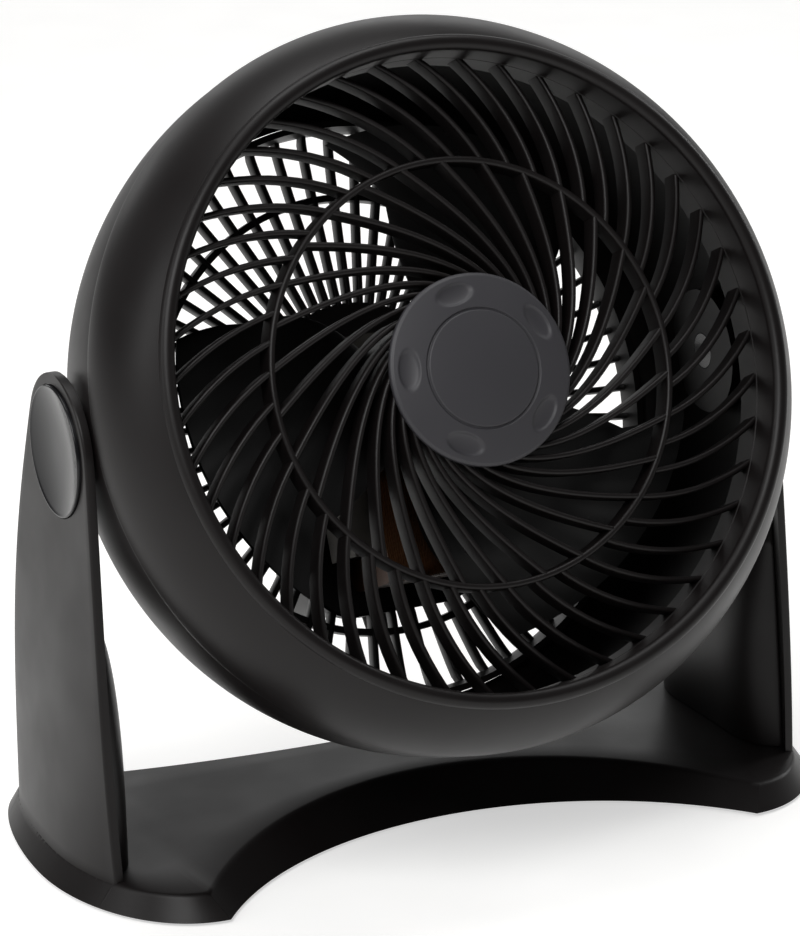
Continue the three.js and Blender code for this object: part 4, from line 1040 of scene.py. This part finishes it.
def top_rim(p):
    """The same for the outline of the base's top, drawn in by the draft of its walls."""
    belly = HALF_WIDTH - 0.8 * DRAFT
    front_tip = (FRONT_TIP[0] + 0.7 * DRAFT, FRONT_TIP[1] + DRAFT)
    rear_tip = (REAR_TIP[0], REAR_TIP[1] - DRAFT)
    front = edge_point(p, front_tip, FRONT_HOLLOW_Y + 2 * DRAFT, belly, 18, -0.245)
    rear = edge_point(p, rear_tip, REAR_HOLLOW_Y - 2 * DRAFT, belly, 12, 0.22)
    return front, rear


def flank_table(rim):
    """The flank's points, front to rear, as (y, x)."""
    stations = [TIP_SHARE + (1 - TIP_SHARE) * i / 60 for i in range(61)]
    front = [rim(p)[0] for p in stations]
    rear = [rim(p)[1] for p in reversed(stations)]
    return [(y, x) for x, y in front + rear[1:]]


FLANK = flank_table(top_rim)
FLOOR_FLANK = flank_table(floor_rim)


def look_up(table, y):
    """x of a flank at a y."""
    if y <= table[0][0]:
        return table[0][1]
    for (y0, x0), (y1, x1) in zip(table, table[1:]):
        if y <= y1:
            return x0 + (x1 - x0) * (y - y0) / max(1e-9, y1 - y0)
    return table[-1][1]


def crown_z(x):
    """Height of the base's top, which is crowned between its tips."""
    return RIM_Z + CROWN * max(0.0, 1 - (x / FRONT_TIP[0]) ** 2)


def build_base(mesh):
    """The plate: crowned top, hollow front and rear edges, drafted walls with soft rims."""
    stations = [TIP_SHARE * i / 40 for i in range(41)]
    stations += [TIP_SHARE + (1 - TIP_SHARE) * i / 40 for i in range(1, 41)]
    stations = [-p for p in reversed(stations[1:])] + stations
    sections = []
    for station in stations:
        p = abs(station)
        side = -1.0 if station < 0 else 1.0
        low = floor_rim(p)
        high = top_rim(p)
        ring = []
        for end, way in ((0, 1), (1, -1)):
            foot = Vector((low[end][0], low[end][1], BASE_LIFT))
            rim = Vector((high[end][0], high[end][1], crown_z(high[end][0])))
            part = [foot]
            for share in (0.3, 0.6, 0.85):
                part.append(foot.lerp(rim, share))
            depth = abs(high[0][1] - high[1][1])
            inward = Vector((0, way * min(1.2, depth / 3), 0))
            corner = rim + inward * 0.25 - Vector((0, 0, 0.25))
            part += [foot.lerp(rim, 0.93), corner, rim + inward]
            ring += part if end == 0 else list(reversed(part))
        across = [ring[6].lerp(ring[7], i / 5) for i in range(1, 5)]
        ring = ring[:7] + across + ring[7:]
        sections.append([(side * v.x, v.y, v.z) for v in ring])
    loft(mesh, sections)


def ear_half(z):
    """Half the ear's width at a height."""
    return math.sqrt(max(0.0, EAR_RADIUS**2 - (z - PIVOT_HEIGHT) ** 2))


def ear_point(degrees):
    """Point on the ear's round end, as (y, z)."""
    angle = math.radians(degrees)
    return EAR_RADIUS * math.cos(angle), PIVOT_HEIGHT + EAR_RADIUS * math.sin(angle)


EAR_FRONT = (-ear_point(6)[0], ear_point(6)[1])  # where the arm's edges run into the ear
EAR_REAR = ear_point(24)


def arm_front_y(z):
    """Front edge of the arm: straight up to the ear, then round it."""
    if z > EAR_FRONT[1]:
        return -ear_half(z)
    share = max(0.0, (z - RIM_Z) / (EAR_FRONT[1] - RIM_Z))
    return ARM_FOOT_FRONT_Y + (EAR_FRONT[0] - ARM_FOOT_FRONT_Y) * share


def arm_rear_y(z):
    """Rear edge of the arm: a curve up to the ear, then round it."""
    if z > EAR_REAR[1]:
        return ear_half(z)
    share = max(0.0, (z - RIM_Z) / (EAR_REAR[1] - RIM_Z))
    return ARM_FOOT_REAR_Y + (EAR_REAR[0] - ARM_FOOT_REAR_Y) * share**2.4


def arm_face_x(y, z):
    """The arm's outer face: flat at the ear, swelling towards the foot to meet the base's flank."""
    if z < RIM_Z:
        share = (RIM_Z - z) / (RIM_Z - BASE_LIFT)
        return look_up(FLANK, y) + (look_up(FLOOR_FLANK, y) - look_up(FLANK, y)) * share
    low = max(0.0, 1 - (z - RIM_Z) / (PIVOT_HEIGHT - RIM_Z)) ** 1.5
    return ARM_FACE_X + low * (look_up(FLANK, y) - ARM_FACE_X)


def rounded_edge(corner, edge, way):
    """Points that round an arm's outer edge, towards its rear (1) or front (-1)."""
    turns = (0.5, 1.05, 1.57)
    return [(corner[0] - edge * (1 - math.cos(a)), corner[1] + way * edge * math.sin(a)) for a in turns]


def build_arm(mesh, side):
    """One arm with rounded edges, from inside the base up to the ear's top."""
    heights = [BASE_LIFT + 0.2 + (RIM_Z - BASE_LIFT - 0.2) * i / 4 for i in range(5)]
    heights += [RIM_Z + (EAR_FRONT[1] - RIM_Z) * (i / 46) for i in range(1, 47)]
    rise = PIVOT_HEIGHT + EAR_RADIUS - EAR_FRONT[1]
    heights += [EAR_FRONT[1] + rise * math.sin(math.pi / 2 * i / 18) for i in range(1, 18)]
    columns = 24
    edge = 0.9
    sections = []
    for z in heights:
        front = arm_front_y(max(z, RIM_Z))
        rear = arm_rear_y(max(z, RIM_Z))
        if rear - front < 2.5 * edge:
            edge = (rear - front) / 3
        outer = []
        for c in range(columns + 1):
            y = front + edge + (rear - front - 2 * edge) * c / columns
            outer.append((arm_face_x(y, z), y))
        inner = [(x - ARM_WALL, y) for x, y in reversed(outer)]
        rear_side = rounded_edge(outer[-1], edge, 1)
        front_side = list(reversed(rounded_edge(outer[0], edge, -1)))
        rear_side.append((inner[0][0], rear_side[-1][1]))
        front_side.insert(0, (inner[-1][0], front_side[0][1]))
        ring = outer + rear_side + inner + front_side
        sections.append([(side * x, y, z) for x, y in ring])
    loft(mesh, sections)


def bored(made, cutter_mesh, place, name):
    """Cuts a form, placed like the piece, out of a piece for good."""
    data = bpy.data.meshes.new(name)
    cutter_mesh.transform(place)
    cutter_mesh.to_mesh(data)
    cutter_mesh.free()
    cutter = bpy.data.objects.new(name, data)
    bpy.context.scene.collection.objects.link(cutter)
    cut = made.modifiers.new("bore", "BOOLEAN")
    cut.operation = "DIFFERENCE"
    cut.solver = "EXACT"
    cut.object = cutter
    bpy.context.view_layer.update()
    result = bpy.data.meshes.new_from_object(made.evaluated_get(bpy.context.evaluated_depsgraph_get()))
    made.modifiers.remove(cut)
    made.data = result
    bpy.data.objects.remove(cutter)
    bpy.data.meshes.remove(data)


def build_stand():
    """The base and its two arms, each ear bored for its pivot cap."""
    mesh = bmesh.new()
    build_base(mesh)
    moulding("stand_base", mesh, STAND, "stand", ["stand_frame"], sharp=32)
    for side, word in ((-1, "left"), (1, "right")):
        mesh = bmesh.new()
        build_arm(mesh, side)
        arm = moulding(f"stand_arm_{word}", mesh, STAND, "stand", sharp=50)
        hole = bmesh.new()
        bore = DISH_RADIUS + CLEARANCE
        along_x(hole, [(0, 120), (bore, 120), (bore, 135), (0, 135)], side, 96)
        bored(arm, hole, STAND, "ear_bore")


def build_arm_fairings():
    """Rounded covers on the lower inside of the arms."""
    top_z = span("arm_fairing_right")[1].z
    foot_z = span("arm_fairing_right")[0].z
    for side, word in ((-1, "left"), (1, "right")):
        mesh = bmesh.new()
        sections = []
        levels = 36
        for i in range(levels + 1):
            t = math.sin(math.pi / 2 * i / levels)
            z = foot_z + (top_z - foot_z) * t
            depth = FAIRING_DEPTH * math.sqrt(max(0.0, 1 - t**2.2))
            front = arm_front_y(z) + FAIRING_MARGIN
            rear = arm_rear_y(z) - FAIRING_MARGIN
            ring = []
            for c in range(29):
                u = 2 * c / 28 - 1
                y = front + (rear - front) * c / 28
                back = arm_face_x(y, z) - ARM_WALL - FAIRING_GAP
                ring.append((back - 1 - depth * (1 - u**4) ** 0.8, y))
            back_ring = [(arm_face_x(y, z) - ARM_WALL - FAIRING_GAP, y) for _, y in reversed(ring)]
            sections.append([(side * x, y, z) for x, y in ring + back_ring])
        loft(mesh, sections)
        moulding(f"arm_cover_{word}", mesh, STAND, "stand", [f"arm_fairing_{word}"], sharp=45)


def build_pivots():
    """Polished dished caps in the ears, and the finishes of the friction washers and foot pads."""
    material = bpy.data.materials["polished_abs"]
    face = span("pivot_pin_right")[1].x
    rubber = bpy.data.materials["moulded_rubber"]
    dish_floor = face - DISH_DEPTH
    barrel_end = face - CAP_BARREL_LENGTH
    for side, word in ((-1, "left"), (1, "right")):
        mesh = bmesh.new()
        outline = [(0, dish_floor)]
        for i in range(1, 25):
            t = i / 24
            outline.append(((DISH_RADIUS - 1.0) * t, face - 0.2 - (DISH_DEPTH - 0.2) * (1 - t**2.4)))
        outline += arc_points((DISH_RADIUS - 0.5, face - 0.5), 0.5, 120, 0, 5)
        outline += [(DISH_RADIUS, dish_floor), (CAP_BARREL_RADIUS, dish_floor)]
        outline += [(CAP_BARREL_RADIUS, barrel_end), (PIN_RADIUS, barrel_end)]
        outline += [(PIN_RADIUS, SEAT_ROOT), (0, SEAT_ROOT)]
        along_x(mesh, outline, side, 128)
        nodes = [f"pivot_pin_{word}"]
        piece(f"pivot_cap_{word}", mesh, STAND, "stand", material, nodes)
        dress(f"pivot_washer_{word}", rubber, 0.2)
    for number in (1, 2, 3, 4):
        dress(f"foot_pad_{number}", rubber, 0.5)


# ------------------------------------------------------------------ stage


def build_stage():
    """White floor, soft lamps and the camera at the photographed angle."""
    settings = bpy.context.scene.fan_stage
    mesh = bmesh.new()
    for x, y in ((-6, -6), (6, -6), (6, 6), (-6, 6)):
        mesh.verts.new((x, y, 0))
    mesh.faces.new(mesh.verts)
    data = bpy.data.meshes.new("floor_sweep")
    mesh.to_mesh(data)
    mesh.free()
    floor = bpy.data.objects.new("floor_sweep", data)
    bpy.context.scene.collection.objects.link(floor)
    data.materials.append(floor_finish())
    world = bpy.data.worlds.new("studio")
    bpy.context.scene.world = world
    world.use_nodes = True
    tree = world.node_tree
    tree.nodes.clear()
    room = add(tree, "ShaderNodeBackground", {"Color": (1, 1, 1, 1), "Strength": settings.ambient})
    add(tree, "ShaderNodeOutputWorld", links={"Surface": room.outputs[0]})
    lamps = (
        # name, place, size, watts
        ("key_softbox", (-0.75, -0.75, 1.15), (0.8, 0.8), 13.0),
        ("left_strip", (-1.3, 0.1, 0.75), (0.3, 0.9), 4.0),
        ("top_softbox", (0.1, 0.25, 1.4), (1.0, 0.8), 8.5),
        ("right_strip", (1.15, 0.25, 0.7), (0.25, 0.8), 4.0),
        ("rear_softbox", (0.45, 1.8, 0.65), (2.4, 0.55), 5.5),
    )
    for name, place, size, watts in lamps:
        light = bpy.data.lights.new(name, "AREA")
        light.shape = "RECTANGLE"
        light.size, light.size_y = size
        light.energy = watts * settings.lamp_level
        lamp = bpy.data.objects.new(name, light)
        bpy.context.scene.collection.objects.link(lamp)
        lamp.location = place
        lamp.rotation_mode = "QUATERNION"
        aim = Vector((0, 0, 0.14)) - Vector(place)
        lamp.rotation_quaternion = aim.to_track_quat("-Z", "Y")
    place_camera(settings)
    bpy.context.scene.view_settings.view_transform = "Standard"


def floor_finish():
    # White paper sweep with faint fibres: white where it is seen, and it keeps the fan's shadow.
    material = bpy.data.materials.new("white_paper_sweep")
    material.use_nodes = True
    tree = material.node_tree
    tree.nodes.clear()
    place = add(tree, "ShaderNodeTexCoord").outputs["Object"]
    fibres = add(tree, "ShaderNodeTexNoise", {"Scale": per_metre(40), "Detail": 3.0}, {"Vector": place})
    tone = add(tree, "ShaderNodeValToRGB", links={"Fac": fibres.outputs["Fac"]})
    tone.color_ramp.elements[0].color = linear("#c9c8c6")
    tone.color_ramp.elements[1].color = linear("#d6d5d3")
    paper = add(tree, "ShaderNodeBsdfDiffuse", links={"Color": tone.outputs["Color"]})
    lift = add(tree, "ShaderNodeEmission", {"Color": bpy.context.scene.fan_finish.floor, "Strength": 0.55})
    bright = add(tree, "ShaderNodeAddShader", links={0: paper.outputs[0], 1: lift.outputs[0]})
    path = add(tree, "ShaderNodeLightPath").outputs
    seen = path["Is Camera Ray"]
    for ray in ("Is Glossy Ray", "Is Transmission Ray"):
        seen = add(tree, "ShaderNodeMath", links={0: seen, 1: path[ray]}, operation="MAXIMUM").outputs[0]
    mixed = add(tree, "ShaderNodeMixShader", links={0: seen, 1: paper.outputs[0], 2: bright.outputs[0]})
    add(tree, "ShaderNodeOutputMaterial", links={"Surface": mixed.outputs[0]})
    return material


def place_camera(settings):
    """Camera on its sphere round the target, with the photograph's small roll."""
    a, e, roll = settings.azimuth, settings.elevation, settings.roll
    back = Vector((math.sin(a) * math.cos(e), -math.cos(a) * math.cos(e), math.sin(e)))
    right = Vector((math.cos(a), math.sin(a), 0))
    upward = back.cross(right)
    right_rolled = math.cos(roll) * right + math.sin(roll) * upward
    up_rolled = -math.sin(roll) * right + math.cos(roll) * upward
    data = bpy.data.cameras.new("camera")
    data.lens = settings.lens
    data.sensor_width = 36.0
    data.clip_start = 0.05
    data.clip_end = 20.0
    camera = bpy.data.objects.new("camera", data)
    bpy.context.scene.collection.objects.link(camera)
    turn = Matrix((right_rolled, up_rolled, back)).transposed().to_4x4()
    camera.matrix_world = Matrix.Translation(Vector(settings.target) + back * settings.distance) @ turn
    bpy.context.scene.camera = camera


# ------------------------------------------------------------------ operators and panel


class BuildShells(bpy.types.Operator):
    """Make the front bell and the rear housing"""

    bl_idname = "fan.build_shells"
    bl_label = "Shells"

    def execute(self, context):
        build_front_shroud()
        build_rear_housing()
        return {"FINISHED"}


class BuildFrontGrille(bpy.types.Operator):
    """Make the swirled front grille"""

    bl_idname = "fan.build_front_grille"
    bl_label = "Front grille"

    def execute(self, context):
        build_front_grille()
        return {"FINISHED"}


class BuildHubCap(bpy.types.Operator):
    """Make the dimpled hub cap"""

    bl_idname = "fan.build_hub_cap"
    bl_label = "Hub cap"

    def execute(self, context):
        build_hub_cap()
        return {"FINISHED"}


class BuildRearGrille(bpy.types.Operator):
    """Make the rear bowl grille"""

    bl_idname = "fan.build_rear_grille"
    bl_label = "Rear grille"

    def execute(self, context):
        build_rear_grille()
        return {"FINISHED"}


class BuildMotorCover(bpy.types.Operator):
    """Make the motor cover and finish its screws and cord gland"""

    bl_idname = "fan.build_motor_cover"
    bl_label = "Motor cover"

    def execute(self, context):
        build_motor_cover()
        return {"FINISHED"}


class BuildMotor(bpy.types.Operator):
    """Finish the motor's parts"""

    bl_idname = "fan.build_motor"
    bl_label = "Motor"

    def execute(self, context):
        build_motor()
        return {"FINISHED"}


class BuildImpeller(bpy.types.Operator):
    """Make the impeller and finish its nut"""

    bl_idname = "fan.build_impeller"
    bl_label = "Impeller"

    def execute(self, context):
        build_impeller()
        return {"FINISHED"}


class BuildSpeedKnob(bpy.types.Operator):
    """Make the speed knob"""

    bl_idname = "fan.build_speed_knob"
    bl_label = "Speed knob"

    def execute(self, context):
        build_speed_knob()
        return {"FINISHED"}


class BuildStand(bpy.types.Operator):
    """Make the base, the arms and the covers on them"""

    bl_idname = "fan.build_stand"
    bl_label = "Stand"

    def execute(self, context):
        build_stand()
        build_arm_fairings()
        return {"FINISHED"}


class BuildPivots(bpy.types.Operator):
    """Make the pivot caps and finish the washers and foot pads"""

    bl_idname = "fan.build_pivots"
    bl_label = "Pivots and feet"

    def execute(self, context):
        build_pivots()
        return {"FINISHED"}


class BuildStage(bpy.types.Operator):
    """Make the floor, the lamps and the camera"""

    bl_idname = "fan.build_stage"
    bl_label = "Stage"

    def execute(self, context):
        build_stage()
        return {"FINISHED"}


BUILDERS = (
    BuildShells,
    BuildFrontGrille,
    BuildHubCap,
    BuildRearGrille,
    BuildMotorCover,
    BuildMotor,
    BuildImpeller,
    BuildSpeedKnob,
    BuildStand,
    BuildPivots,
    BuildStage,
)


class FanPanel(bpy.types.Panel):
    """The fan's builders and settings in the sidebar"""

    bl_idname = "VIEW3D_PT_fan"
    bl_label = "Air circulator fan"
    bl_space_type = "VIEW_3D"
    bl_region_type = "UI"
    bl_category = "Fan"

    def draw(self, context):
        for builder in BUILDERS:
            self.layout.operator(builder.bl_idname)
        for settings in (context.scene.fan_finish, context.scene.fan_grille, context.scene.fan_stage):
            box = self.layout.box()
            for name in settings.__annotations__:
                box.prop(settings, name)


CLASSES = (FinishSettings, GrilleSettings, StageSettings, *BUILDERS, FanPanel)


def register():
    for entry in CLASSES:
        bpy.utils.register_class(entry)
    bpy.types.Scene.fan_finish = PointerProperty(type=FinishSettings)
    bpy.types.Scene.fan_grille = PointerProperty(type=GrilleSettings)
    bpy.types.Scene.fan_stage = PointerProperty(type=StageSettings)


def unregister():
    del bpy.types.Scene.fan_stage
    del bpy.types.Scene.fan_grille
    del bpy.types.Scene.fan_finish
    for entry in reversed(CLASSES):
        bpy.utils.unregister_class(entry)


def main():
    register()
    for builder in BUILDERS:
        group, action = builder.bl_idname.split(".")
        getattr(getattr(bpy.ops, group), action)()


if __name__ == "__main__":
    main()
